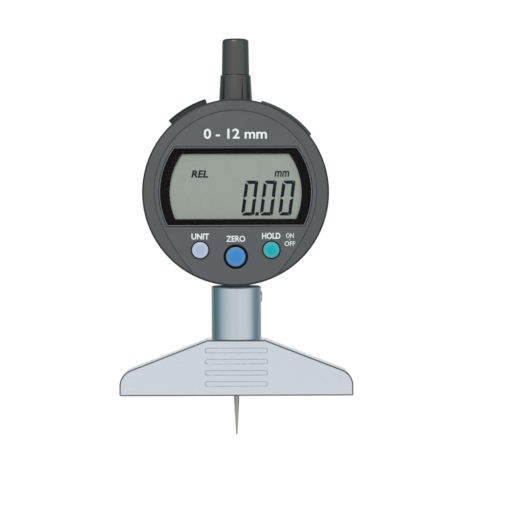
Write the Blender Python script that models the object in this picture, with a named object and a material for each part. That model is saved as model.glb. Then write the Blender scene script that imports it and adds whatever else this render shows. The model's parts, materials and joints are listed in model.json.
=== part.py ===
"""A digital depth gauge: a round indicator held by its stem over a flat measuring base.

Lengths are in metres, angles in degrees, +Z is up and the display faces -Y. The origin is the tip
of the contact needle with the spindle fully down, and the spindle's axis is the Z axis.
"""

import math

import bmesh
import bpy

# Fits
SEAT_GAP = 0.0002
SLIDE_GAP = 0.0003
CUT_OVERRUN = 0.0020
WELD_DISTANCE = 0.0000001

# Facets of round shapes
BODY_STEPS = 64
ROUND_STEPS = 28
LENS_STEPS = 12
SMALL_STEPS = 18
FINE_STEPS = 12
CORNER_STEPS = 3
SHARP_ANGLE = 32

# Measuring base
BASE_LENGTH = 0.0750
BASE_DEPTH = 0.0164
BASE_HEIGHT = 0.0179
BASE_LAND = 0.0187
BASE_END_RADIUS = 0.0055
BASE_END_HEIGHT = 0.0032
BASE_FOOT_RADIUS = 0.0004
BASE_EDGE_BREAK = 0.0003
BASE_BORE_RADIUS = 0.0030
GRIP_SLOT_COUNT = 4
GRIP_SLOT_LENGTH = 0.0200
GRIP_SLOT_WIDTH = 0.0015
GRIP_SLOT_DEPTH = 0.00045
GRIP_SLOT_PITCH = 0.00358
GRIP_SLOT_FIRST = 0.00385

# Sleeve with its clamp
SLEEVE_RADIUS = 0.0081
SLEEVE_LENGTH = 0.0171
SLEEVE_TOP_ROUND = 0.0010
SLEEVE_FOOT_BREAK = 0.0003
SPIGOT_RADIUS = 0.0058
SPIGOT_LENGTH = 0.0058
CLAMP_RADIUS = 0.0020
CLAMP_BELOW_TOP = 0.0036
CLAMP_PROUD = 0.0003
CLAMP_SOCKET_RADIUS = 0.00115
CLAMP_SOCKET_DEPTH = 0.0016
CLAMP_BREAK = 0.0002
PAD_THICKNESS = 0.0010

# Stem, spindle and needle
STEM_RADIUS = 0.0040
STEM_WALL = 0.0007
STEM_FOOT_GAP = 0.0027
STEM_BREAK = 0.0003
FLANGE_RADIUS = 0.0060
FLANGE_THICKNESS = 0.0016
SPINDLE_SHARE = 0.5625
SPINDLE_BREAK = 0.0003
SPINDLE_TRAVEL = 0.0127
BUSH_LENGTH = 0.0090
NEEDLE_OUT = 0.0131
NEEDLE_TIP_RADIUS = 0.00015
NEEDLE_ROUND = 0.00008
NEEDLE_WAIST_HEIGHT = 0.0070
NEEDLE_WAIST_RADIUS = 0.00065
NEEDLE_TAPER_LENGTH = 0.0155
NEEDLE_TAPER_RADIUS = 0.00098
NEEDLE_SHANK_STEP = 0.00025
NEEDLE_SHANK_LENGTH = 0.0038
NEEDLE_SHOULDER = 0.0010
NEEDLE_THREAD_RADIUS = 0.00125
NEEDLE_THREAD_LENGTH = 0.0046
STOP_RING_RADIUS = 0.0042
STOP_RING_HEIGHT = 0.0015

# Round case
BODY_RADIUS = 0.0297
CASE_WALL = 0.0023
CASE_SPLIT_GAP = 0.0015
CASE_BACK_DEPTH = 0.0080
CASE_FRONT_ROUND = 0.0004
COVER_THICKNESS = 0.0020
COVER_ROUND = 0.0008
PLATE_THICKNESS = 0.0015

# Shield-shaped face panel
PANEL_THICKNESS = 0.0019
PANEL_MARGIN = 0.004125
PANEL_RADIUS = BODY_RADIUS - PANEL_MARGIN
PANEL_FLANK_RADIUS = 0.0700
PANEL_FLANK_ANGLE = 26
PANEL_LIFT = 0.0003
PANEL_GROOVE = 0.00035
PANEL_EDGE_BREAK = 0.00012

# Display
BEZEL_MARGIN = 0.001275
BEZEL_LIP = 0.00035
BEZEL_SET_BACK = 0.00012
BEZEL_FLANGE = 0.0005
WINDOW_THICKNESS = 0.0008
VIEW_TOP_SHARE = 0.4135
VIEW_BOTTOM_SHARE = 0.2848
VIEW_SIDE_MARGIN = 0.0033
VIEW_TOP_MARGIN = 0.0021
VIEW_BOTTOM_MARGIN = 0.0022
LCD_EDGE = 0.0007
LCD_THICKNESS = 0.0020
FRAME_WALL = 0.0012
FRAME_DEPTH = 0.0018
ZEBRA_WIDTH = 0.0016
ZEBRA_INSET = 0.0018

# Buttons and their mat
SIDE_BUTTON_RADIUS = 0.00265
SIDE_BUTTON_RING = 0.0003
SIDE_BUTTON_SPREAD_SHARE = 0.38
SIDE_BUTTON_DROP_SHARE = 0.615
SET_BUTTON_RADIUS = 0.00317
SET_BUTTON_RING = 0.0006
SET_BUTTON_DROP_SHARE = 0.6867
BUTTON_PROUD = 0.0009
BUTTON_ROUND = 0.0005
BUTTON_CROWN = 0.00015
BUTTON_FLANGE = 0.0008
BUTTON_FLANGE_THICKNESS = 0.0006
BUTTON_TRAVEL = 0.0007
MAT_HALF_WIDTH = 0.0040

# Circuit board
BOARD_THICKNESS = 0.0012
BOARD_POST_RADIUS = 0.0020
BOARD_POST_INSET = 0.00775
BOARD_POST_ANGLE = 36.5
BOARD_SCREW_RADIUS = 0.0008
BOARD_SCREW_HEAD = 0.0017
BOARD_SCREW_HEAD_HEIGHT = 0.0010
CHIP_SIDE = 0.0070
CHIP_HEIGHT = 0.0012
CHIP_SPREAD_SHARE = 0.4
CHIP_DROP_SHARE = 0.1333
HEAD_HALF_WIDTH = 0.0050
HEAD_TOP_SHARE = 0.5333
HEAD_BOTTOM_SHARE = 0.2667
HEAD_THICKNESS = 0.0013

# Case screws and their posts
CASE_POST_RADIUS = 0.0019
CASE_POST_INSET = 0.0038
UPPER_POST_ANGLE = 16
LOWER_POST_ANGLE = 42
CASE_SCREW_RADIUS = 0.0010
CASE_SCREW_HEAD = 0.0017
CASE_SCREW_HEAD_HEIGHT = 0.0009
CASE_SCREW_SEAT = 0.0008
SCREW_SLOT_WIDTH = 0.0004
SCREW_SLOT_DEPTH = 0.0004
SCREW_END_GAP = 0.0004

# Scale, its carrier, the guide and the return spring
SCALE_HALF_WIDTH = 0.0035
SCALE_THICKNESS = 0.0010
SCALE_FOOT_GAP = 0.00074
SCALE_TOP_GAP = 0.0036
CARRIER_HALF_WIDTH = 0.0042
CARRIER_HEIGHT = 0.0120
CARRIER_FRONT = 0.0035
CARRIER_DROP_SHARE = 0.4933
CARRIER_BACK = 0.0035
ARM_LENGTH = 0.0080
ARM_THICKNESS = 0.0022
ARM_HALF_DEPTH = 0.0012
PIN_RADIUS = 0.0009
PIN_LENGTH = 0.0088
PIN_HEIGHT_SHARE = 0.25
RAIL_END_GAP = 0.00035
RAIL_GRIP = 0.0028
RAIL_WALL = 0.0017
SPRING_RADIUS = 0.0018
SPRING_WIRE = 0.00025
SPRING_TURNS = 10
SPRING_POINTS = 8
POST_RADIUS = 0.0011
POST_DROP_SHARE = 0.7133
POST_FRONT = 0.0028

# Collar and dust cap on top
BOSS_FOOT_RADIUS = 0.0054
BOSS_TOP_RADIUS = 0.00492
BOSS_HEIGHT = 0.0089
BOSS_BREAK = 0.0003
BOSS_SPIGOT_RADIUS = 0.0044
BOSS_SPIGOT_LENGTH = 0.0030
BOSS_PLUG_DEPTH = 0.0032
FLUTE_DEPTH = 0.00025
FLUTES = ((-47, 0.0009), (24, 0.0007), (50, 0.0014))
BOSS_LIP = 0.000925
CAP_STEP = 0.00045
CAP_TAPER = 0.0002
CAP_WALL = 0.00075
CAP_HEIGHT = 0.0115
CAP_ROUND = 0.0010
CAP_ROOF = 0.0013

# Battery drawer at the upper right
DRAWER_ANGLE = 56
DRAWER_HALF_ANGLE = 18.3
DRAWER_PROUD = 0.0012
DRAWER_COVER_THICKNESS = 0.0024
DRAWER_COVER_MARGIN = 0.0019
DRAWER_EDGE_ROUND = 0.0003
DRAWER_WALL = 0.0010
CELL_SHARE = 0.1933
CELL_THICKNESS = 0.0054
CELL_STEP = 0.0004
CELL_ROUND = 0.0003
CELL_INSET = 0.0090
CELL_CENTRE_DEPTH = 0.0015
CONTACT_THICKNESS = 0.0003
CONTACT_WIDTH = 0.0026
CONTACT_SPREAD_SHARE = 0.724
CONTACT_OVERLAP_SHARE = 0.93
CONTACT_FOOT_SHARE = 0.8

# Data port at the upper left
PORT_ANGLE = 120.25
PORT_HALF_ANGLE = 12.5
PORT_DEPTH = -0.0018
PORT_COVER_THICKNESS = 0.00185
PORT_COVER_HALF_DEPTH = 0.0032
PORT_COVER_ROUND = 0.0004
PORT_HALF_LENGTH = 0.0042
PORT_HALF_WIDTH = 0.0016
PLUG_HALF_LENGTH = 0.0033
PLUG_HALF_WIDTH = 0.0007
SOCKET_HALF_LENGTH = 0.0050
SOCKET_LENGTH = 0.0065
SOCKET_BACK = 0.0009
SOCKET_SLOT_DEPTH = 0.0050

# Levels worked out from the sizes above
BASE_FACE_Z = NEEDLE_OUT
BASE_TOP_Z = BASE_FACE_Z + BASE_HEIGHT
SLEEVE_FOOT_Z = BASE_TOP_Z + SEAT_GAP
SLEEVE_TOP_Z = SLEEVE_FOOT_Z + SLEEVE_LENGTH
BODY_Z = SLEEVE_TOP_Z + SEAT_GAP + BODY_RADIUS
CAVITY_RADIUS = BODY_RADIUS - CASE_WALL
CASE_POST_CIRCLE = BODY_RADIUS - CASE_POST_INSET
BOARD_POST_CIRCLE = BODY_RADIUS - BOARD_POST_INSET
BEZEL_RADIUS = PANEL_RADIUS - BEZEL_MARGIN
VIEW_RADIUS = BEZEL_RADIUS - VIEW_SIDE_MARGIN
VIEW_TOP = BODY_RADIUS * VIEW_TOP_SHARE
VIEW_BOTTOM = BODY_RADIUS * VIEW_BOTTOM_SHARE
BEZEL_TOP = VIEW_TOP + VIEW_TOP_MARGIN
BEZEL_BOTTOM = VIEW_BOTTOM + VIEW_BOTTOM_MARGIN
LCD_HALF_WIDTH = VIEW_RADIUS + LCD_EDGE
LCD_TOP = VIEW_TOP + LCD_EDGE
LCD_BOTTOM = VIEW_BOTTOM + LCD_EDGE
SIDE_BUTTON_SPREAD = BODY_RADIUS * SIDE_BUTTON_SPREAD_SHARE
SIDE_BUTTON_DROP = BODY_RADIUS * SIDE_BUTTON_DROP_SHARE
SET_BUTTON_DROP = BODY_RADIUS * SET_BUTTON_DROP_SHARE
CELL_RADIUS = BODY_RADIUS * CELL_SHARE
CELL_CENTRE_RADIUS = BODY_RADIUS - CELL_INSET
SLEEVE_BORE_RADIUS = STEM_RADIUS + SEAT_GAP
STEM_BORE_RADIUS = STEM_RADIUS - STEM_WALL
SPIGOT_FOOT_Z = SLEEVE_FOOT_Z - SPIGOT_LENGTH + SEAT_GAP
STEM_FOOT_Z = SPIGOT_FOOT_Z + STEM_FOOT_GAP
FLANGE_Z = BODY_Z - math.sqrt(CAVITY_RADIUS**2 - FLANGE_RADIUS**2) + SEAT_GAP
STEM_TOP_Z = FLANGE_Z + FLANGE_THICKNESS
STOP_RING_FOOT_Z = STEM_TOP_Z + SEAT_GAP
SCALE_FOOT_Z = STOP_RING_FOOT_Z + STOP_RING_HEIGHT + SCALE_FOOT_GAP
SCALE_REACH = math.sqrt(CAVITY_RADIUS**2 - SCALE_HALF_WIDTH**2) - SPINDLE_TRAVEL - SCALE_TOP_GAP
CARRIER_FOOT_Z = BODY_Z - BODY_RADIUS * CARRIER_DROP_SHARE
SPRING_POST_Z = BODY_Z - BODY_RADIUS * POST_DROP_SHARE
SPINDLE_RADIUS = STEM_RADIUS * SPINDLE_SHARE
NEEDLE_SHANK_RADIUS = SPINDLE_RADIUS - NEEDLE_SHANK_STEP
BUSH_BORE_RADIUS = SPINDLE_RADIUS + SLIDE_GAP
BUSH_RADIUS = STEM_BORE_RADIUS - SEAT_GAP
PLUG_RADIUS = BOSS_TOP_RADIUS - BOSS_LIP - SEAT_GAP
CAP_BORE_RADIUS = PLUG_RADIUS - CAP_WALL
CAP_FOOT_RADIUS = BOSS_TOP_RADIUS - CAP_STEP
CAP_TOP_RADIUS = CAP_FOOT_RADIUS - CAP_TAPER
SPOT_RADIUS = BOSS_FOOT_RADIUS + SEAT_GAP
SPOT_Z = BODY_Z + math.sqrt(BODY_RADIUS**2 - SPOT_RADIUS**2) - SEAT_GAP
BOSS_FOOT_Z = SPOT_Z + SEAT_GAP
BOSS_TOP_Z = BOSS_FOOT_Z + BOSS_HEIGHT
CAP_FOOT_Z = BOSS_TOP_Z + SEAT_GAP
CAP_TOP_Z = CAP_FOOT_Z + CAP_HEIGHT
SPINDLE_TOP_Z = CAP_TOP_Z - CAP_ROOF - SPINDLE_TRAVEL - SLIDE_GAP
SPINDLE_FOOT_Z = NEEDLE_TAPER_LENGTH + NEEDLE_SHOULDER + NEEDLE_SHANK_LENGTH + SEAT_GAP

# Depths worked out from the sizes above, measured along Y from the spindle's axis
CARRIER_Y = -CARRIER_FRONT
SCALE_Y = CARRIER_Y - SEAT_GAP - SCALE_THICKNESS
BOARD_BACK_Y = SCALE_Y - SLIDE_GAP - HEAD_THICKNESS - SEAT_GAP
BOARD_Y = BOARD_BACK_Y - BOARD_THICKNESS
LCD_BACK_Y = BOARD_Y - SEAT_GAP - FRAME_DEPTH - SEAT_GAP
PLATE_Y = LCD_BACK_Y - LCD_THICKNESS
PLATE_BACK_Y = PLATE_Y + PLATE_THICKNESS
PANEL_BACK_Y = PLATE_Y - SEAT_GAP
FRONT_Y = PANEL_BACK_Y - PANEL_THICKNESS
SPLIT_Y = BOARD_BACK_Y + CASE_SPLIT_GAP
COVER_Y = CASE_BACK_DEPTH + SEAT_GAP
COVER_BACK_Y = COVER_Y + COVER_THICKNESS


def clear_scene():
    """Remove what the file opened with."""
    for item in list(bpy.data.objects):
        bpy.data.objects.remove(item, do_unlink=True)


def linear(byte):
    """The linear value of an sRGB byte."""
    share = byte / 255
    return share / 12.92 if share <= 0.04045 else ((share + 0.055) / 1.055) ** 2.4


def finish(name, red, green, blue, roughness, metallic=0.0):
    """A Principled material of one sRGB colour."""
    material = bpy.data.materials.new(name)
    material.use_nodes = True
    shader = material.node_tree.nodes["Principled BSDF"]
    shader.inputs["Base Color"].default_value = (linear(red), linear(green), linear(blue), 1)
    shader.inputs["Roughness"].default_value = roughness
    shader.inputs["Metallic"].default_value = metallic
    return material


def make_object(name, mesh, material):
    """Link a mesh as a named object, shaded smooth between its sharp edges."""
    mesh.shade_smooth()
    mesh.set_sharp_from_angle(angle=math.radians(SHARP_ANGLE))
    if material:
        mesh.materials.append(material)
    made = bpy.data.objects.new(name, mesh)
    bpy.context.collection.objects.link(made)
    return made


def mesh_from(name, bm):
    """Close up a bmesh and hand back its mesh with the faces pointing out."""
    bmesh.ops.remove_doubles(bm, verts=bm.verts, dist=WELD_DISTANCE)
    bmesh.ops.recalc_face_normals(bm, faces=bm.faces)
    mesh = bpy.data.meshes.new(name)
    bm.to_mesh(mesh)
    bm.free()
    return mesh


def slab(name, outlines, near, far, material=None):
    """Extrude closed outlines of (x, z) points along Y, from near to far."""
    bm = bmesh.new()
    for outline in outlines:
        face = bm.faces.new([bm.verts.new((x, near, z)) for x, z in outline])
        moved = bmesh.ops.extrude_face_region(bm, geom=[face])
        tops = [item for item in moved["geom"] if isinstance(item, bmesh.types.BMVert)]
        bmesh.ops.translate(bm, verts=tops, vec=(0, far - near, 0))
    return make_object(name, mesh_from(name, bm), material)


def turned(name, profile, steps, material=None):
    """Spin a profile of (radius, height) points round Z; it closes on itself or on the axis."""
    bm = bmesh.new()
    verts = [bm.verts.new((radius, 0, height)) for radius, height in profile]
    edges = [bm.edges.new(pair) for pair in zip(verts, verts[1:])]
    if profile[0][0] > 0:
        edges.append(bm.edges.new((verts[-1], verts[0])))
    bmesh.ops.spin(
        bm, geom=verts + edges, cent=(0, 0, 0), axis=(0, 0, 1), angle=math.tau, steps=steps
    )
    return make_object(name, mesh_from(name, bm), material)


def placed(item, x=0, y=0, z=0, turn=(0, 0, 0), parent=None):
    """Set an object's place, its turn in degrees and its parent."""
    item.location = (x, y, z)
    item.rotation_euler = [math.radians(angle) for angle in turn]
    item.parent = parent
    return item


ALONG_X = (0, 90, 0)
ALONG_Y = (-90, 0, 0)
UPRIGHT = (90, 0, 0)


def combined(target, operation, *others):
    """Cut tools from an object, or join them to it, with exact Booleans."""
    for other in others:
        other.hide_render = True
        other.display_type = "WIRE"
        step = target.modifiers.new(other.name, "BOOLEAN")
        step.operation = operation
        step.solver = "EXACT"
        step.object = other
    return target


def cut(target, *tools):
    return combined(target, "DIFFERENCE", *tools)


def join(target, *pieces):
    return combined(target, "UNION", *pieces)


def bevel(target, width, segments=1):
    """Round an object's sharp edges."""
    step = target.modifiers.new("edge_break", "BEVEL")
    step.width = width
    step.segments = segments
    step.limit_method = "ANGLE"
    step.angle_limit = math.radians(SHARP_ANGLE)
    return target


def arc(radius, start, stop, steps, centre=(0, 0)):
    """Points on an arc, both ends included."""
    angles = [math.radians(start + (stop - start) * i / steps) for i in range(steps + 1)]
    return [(centre[0] + radius * math.cos(a), centre[1] + radius * math.sin(a)) for a in angles]


def circle(radius, steps, centre=(0, 0)):
    return arc(radius, 0, 360, steps, centre)[:-1]


def box(left, right, bottom, top):
    return [(left, bottom), (right, bottom), (right, top), (left, top)]


def sector(inner, outer, half_angle, steps):
    """The outline of a piece of a ring, centred on the +X direction."""
    return arc(outer, -half_angle, half_angle, steps) + arc(inner, half_angle, -half_angle, steps)


def stadium(half_length, radius, height=0):
    """A lying oblong with round ends."""
    reach = half_length - radius
    right = arc(radius, -90, 90, 2 * CORNER_STEPS, (reach, height))
    left = arc(radius, 90, 270, 2 * CORNER_STEPS, (-reach, height))
    return right + left


def lens(radius, top, bottom):
    """The display's outline: two arcs of one circle between a top and a bottom flat."""
    upper = math.degrees(math.asin(top / radius))
    lower = math.degrees(math.asin(bottom / radius))
    right = arc(radius, -lower, upper, LENS_STEPS)
    left = arc(radius, 180 - upper, 180 + lower, LENS_STEPS)
    return right + left


def shield(margin, foot_radius):
    """The face panel's outline: round above, with flanks that run out at the foot."""
    top = PANEL_RADIUS + margin
    flank = PANEL_FLANK_RADIUS + margin
    offset = PANEL_FLANK_RADIUS - PANEL_RADIUS
    centre_x = offset * math.cos(math.radians(PANEL_FLANK_ANGLE))
    centre_z = PANEL_LIFT + offset * math.sin(math.radians(PANEL_FLANK_ANGLE))
    reach = math.hypot(centre_x, centre_z)
    share = (foot_radius**2 + reach**2 - flank**2) / (2 * foot_radius * reach)
    lean = math.degrees(math.atan2(centre_z, centre_x))
    foot_angle = 360 + lean - math.degrees(math.acos(share))
    foot_x = foot_radius * math.cos(math.radians(foot_angle))
    foot_z = foot_radius * math.sin(math.radians(foot_angle))
    flank_end = 360 + math.degrees(math.atan2(foot_z - centre_z, foot_x - centre_x))
    sweep = (-PANEL_FLANK_ANGLE, 180 + PANEL_FLANK_ANGLE)
    dome = arc(top, *sweep, BODY_STEPS // 2 + LENS_STEPS, (0, PANEL_LIFT))
    left = arc(flank, 180 + PANEL_FLANK_ANGLE, flank_end, CORNER_STEPS, (centre_x, centre_z))
    foot = arc(foot_radius, foot_angle, 540 - foot_angle, SMALL_STEPS)
    right = [(-x, z) for x, z in reversed(left)]
    return dome[:-1] + left[:-1] + foot[:-1] + right[:-1]


def post_places():
    """Where the four case screws stand round the case's centre."""
    angles = (
        UPPER_POST_ANGLE,
        180 - UPPER_POST_ANGLE,
        180 + LOWER_POST_ANGLE,
        360 - LOWER_POST_ANGLE,
    )
    return [arc(CASE_POST_CIRCLE, angle, angle, 1)[0] for angle in angles]


def board_post_places():
    """Where the circuit board's two screws stand round the case's centre."""
    angles = (180 + BOARD_POST_ANGLE, 360 - BOARD_POST_ANGLE)
    return [arc(BOARD_POST_CIRCLE, angle, angle, 1)[0] for angle in angles]


def button_places():
    """Name, place, cap radius and ring gap of each button."""
    return (
        ("mode_button", -SIDE_BUTTON_SPREAD, -SIDE_BUTTON_DROP, SIDE_BUTTON_RADIUS, SIDE_BUTTON_RING),
        ("set_button", 0, -SET_BUTTON_DROP, SET_BUTTON_RADIUS, SET_BUTTON_RING),
        ("data_button", SIDE_BUTTON_SPREAD, -SIDE_BUTTON_DROP, SIDE_BUTTON_RADIUS, SIDE_BUTTON_RING),
    )


def base_outline():
    """Front view of the base: flat foot, round ends and slopes up to a short land."""
    half = BASE_LENGTH / 2
    centre_x = half - BASE_END_RADIUS
    land = BASE_LAND / 2
    run = centre_x - land
    fall = BASE_HEIGHT - BASE_END_HEIGHT
    slope = math.degrees(
        math.atan2(fall, run) - math.asin(BASE_END_RADIUS / math.hypot(run, fall))
    )
    foot = arc(
        BASE_FOOT_RADIUS, -90, 0, CORNER_STEPS, (half - BASE_FOOT_RADIUS, BASE_FOOT_RADIUS)
    )
    end = arc(BASE_END_RADIUS, 0, 90 - slope, 2 * CORNER_STEPS, (centre_x, BASE_END_HEIGHT))
    right = foot + end + [(land, BASE_HEIGHT)]
    return right + [(-x, z) for x, z in reversed(right)]


def make_base(material):
    half = BASE_DEPTH / 2
    base = placed(slab("base", [base_outline()], -half, half, material), z=BASE_FACE_Z)
    bevel(base, BASE_EDGE_BREAK)
    heights = [GRIP_SLOT_FIRST + GRIP_SLOT_PITCH * i for i in range(GRIP_SLOT_COUNT)]
    slots = [stadium(GRIP_SLOT_LENGTH / 2, GRIP_SLOT_WIDTH / 2, height) for height in heights]
    floor = half - GRIP_SLOT_DEPTH
    front = slab("front_slots", slots, -half - CUT_OVERRUN, -floor)
    back = slab("back_slots", slots, floor, half + CUT_OVERRUN)
    seat = BASE_HEIGHT - SPIGOT_LENGTH
    bore = turned(
        "spindle_bore",
        [
            (0, BASE_HEIGHT + CUT_OVERRUN),
            (SPIGOT_RADIUS + SEAT_GAP, BASE_HEIGHT + CUT_OVERRUN),
            (SPIGOT_RADIUS + SEAT_GAP, seat),
            (BASE_BORE_RADIUS, seat),
            (BASE_BORE_RADIUS, -CUT_OVERRUN),
            (0, -CUT_OVERRUN),
        ],
        ROUND_STEPS,
    )
    for tool in (front, back, bore):
        placed(tool, z=BASE_FACE_Z)
    return cut(base, front, back, bore)


def make_sleeve(material):
    round_centre = (SLEEVE_RADIUS - SLEEVE_TOP_ROUND, SLEEVE_TOP_Z - SLEEVE_TOP_ROUND)
    profile = [
        (SLEEVE_BORE_RADIUS, SLEEVE_TOP_Z),
        *arc(SLEEVE_TOP_ROUND, 90, 0, CORNER_STEPS, round_centre),
        (SLEEVE_RADIUS, SLEEVE_FOOT_Z + SLEEVE_FOOT_BREAK),
        (SLEEVE_RADIUS - SLEEVE_FOOT_BREAK, SLEEVE_FOOT_Z),
        (SPIGOT_RADIUS, SLEEVE_FOOT_Z),
        (SPIGOT_RADIUS, SPIGOT_FOOT_Z),
        (SLEEVE_BORE_RADIUS, SPIGOT_FOOT_Z),
    ]
    sleeve = turned("sleeve", profile, ROUND_STEPS + FINE_STEPS, material)
    hole_radius = CLAMP_RADIUS + SEAT_GAP
    far = SLEEVE_RADIUS + CUT_OVERRUN
    hole = turned(
        "clamp_hole",
        [(0, far), (hole_radius, far), (hole_radius, STEM_RADIUS / 2), (0, STEM_RADIUS / 2)],
        SMALL_STEPS,
    )
    return cut(sleeve, placed(hole, z=SLEEVE_TOP_Z - CLAMP_BELOW_TOP, turn=ALONG_X))


def make_clamp(steel, brass):
    """The set screw in the sleeve's right side and the pad that it presses on the stem."""
    height = SLEEVE_TOP_Z - CLAMP_BELOW_TOP
    pad_near = SLEEVE_BORE_RADIUS
    pad_far = pad_near + PAD_THICKNESS
    near = pad_far + SEAT_GAP
    far = SLEEVE_RADIUS + CLAMP_PROUD
    screw = turned(
        "clamp_screw",
        [
            (0, far),
            (CLAMP_RADIUS - CLAMP_BREAK, far),
            (CLAMP_RADIUS, far - CLAMP_BREAK),
            (CLAMP_RADIUS, near + CLAMP_BREAK),
            (CLAMP_RADIUS - CLAMP_BREAK, near),
            (0, near),
        ],
        SMALL_STEPS,
        steel,
    )
    socket = turned(
        "clamp_socket",
        [
            (0, far + CUT_OVERRUN),
            (CLAMP_SOCKET_RADIUS, far + CUT_OVERRUN),
            (CLAMP_SOCKET_RADIUS, far - CLAMP_SOCKET_DEPTH),
            (0, far - CLAMP_SOCKET_DEPTH),
        ],
        6,
    )
    pad_radius = CLAMP_RADIUS - CLAMP_BREAK
    pad = turned(
        "clamp_pad",
        [(0, pad_far), (pad_radius, pad_far), (pad_radius, pad_near), (0, pad_near)],
        FINE_STEPS,
        brass,
    )
    for item in (screw, socket, pad):
        placed(item, z=height, turn=ALONG_X)
    cut(screw, socket)


def tube(name, inner, outer, low, high, steps, material, corner=0):
    """A plain round tube with broken outer corners."""
    profile = [(inner, high), (outer - corner, high), (outer, high - corner)]
    profile += [(outer, low + corner), (outer - corner, low), (inner, low)]
    return turned(name, profile, steps, material)


def make_stem(steel, brass):
    """The stem with its inner flange, and the bushes at the spindle's two ends."""
    profile = [
        (STEM_BORE_RADIUS, STEM_TOP_Z),
        (FLANGE_RADIUS, STEM_TOP_Z),
        (FLANGE_RADIUS, FLANGE_Z),
        (STEM_RADIUS, FLANGE_Z),
        (STEM_RADIUS, STEM_FOOT_Z + STEM_BREAK),
        (STEM_RADIUS - STEM_BREAK, STEM_FOOT_Z),
        (STEM_BORE_RADIUS, STEM_FOOT_Z),
    ]
    turned("stem", profile, ROUND_STEPS, steel)
    low = STEM_FOOT_Z + SEAT_GAP
    corner = STEM_BREAK / 2
    tube(
        "lower_bush", BUSH_BORE_RADIUS, BUSH_RADIUS, low, low + BUSH_LENGTH, SMALL_STEPS, brass, corner
    )
    high = BOSS_TOP_Z - BOSS_PLUG_DEPTH - SEAT_GAP
    foot = BOSS_FOOT_Z - BOSS_SPIGOT_LENGTH + SEAT_GAP
    tube("upper_bush", BUSH_BORE_RADIUS, BUSH_RADIUS, foot, high, SMALL_STEPS, brass, corner)


def make_spindle(steel, rubber):
    """The sliding rod, its contact needle and the ring that stops its fall."""
    bore = NEEDLE_THREAD_RADIUS + SEAT_GAP
    bore_top = SPINDLE_FOOT_Z + NEEDLE_THREAD_LENGTH + SEAT_GAP
    turned(
        "spindle",
        [
            (0, SPINDLE_TOP_Z),
            (SPINDLE_RADIUS - SPINDLE_BREAK, SPINDLE_TOP_Z),
            (SPINDLE_RADIUS, SPINDLE_TOP_Z - SPINDLE_BREAK),
            (SPINDLE_RADIUS, SPINDLE_FOOT_Z + SPINDLE_BREAK),
            (SPINDLE_RADIUS - SPINDLE_BREAK, SPINDLE_FOOT_Z),
            (bore, SPINDLE_FOOT_Z),
            (bore, bore_top),
            (0, bore_top),
        ],
        SMALL_STEPS,
        steel,
    )
    shank_foot = NEEDLE_TAPER_LENGTH + NEEDLE_SHOULDER
    shank_top = shank_foot + NEEDLE_SHANK_LENGTH
    turned(
        "needle_point",
        [
            (0, shank_top + NEEDLE_THREAD_LENGTH),
            (NEEDLE_THREAD_RADIUS, shank_top + NEEDLE_THREAD_LENGTH),
            (NEEDLE_THREAD_RADIUS, shank_top),
            (NEEDLE_SHANK_RADIUS, shank_top),
            (NEEDLE_SHANK_RADIUS, shank_foot),
            (NEEDLE_TAPER_RADIUS, NEEDLE_TAPER_LENGTH),
            (NEEDLE_WAIST_RADIUS, NEEDLE_WAIST_HEIGHT),
            (NEEDLE_TIP_RADIUS + NEEDLE_ROUND, NEEDLE_ROUND),
            (NEEDLE_TIP_RADIUS, 0),
            (0, 0),
        ],
        SMALL_STEPS,
        steel,
    )
    tube(
        "stop_ring",
        SPINDLE_RADIUS + SEAT_GAP,
        STOP_RING_RADIUS,
        STOP_RING_FOOT_Z,
        STOP_RING_FOOT_Z + STOP_RING_HEIGHT,
        SMALL_STEPS,
        rubber,
        SPINDLE_BREAK,
    )


def spot_face():
    """The flat that the collar stands on, cut into the round case."""
    top = BODY_Z + BODY_RADIUS + CUT_OVERRUN
    return turned(
        "spot_face", [(0, top), (SPOT_RADIUS, top), (SPOT_RADIUS, SPOT_Z), (0, SPOT_Z)], ROUND_STEPS
    )


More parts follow.
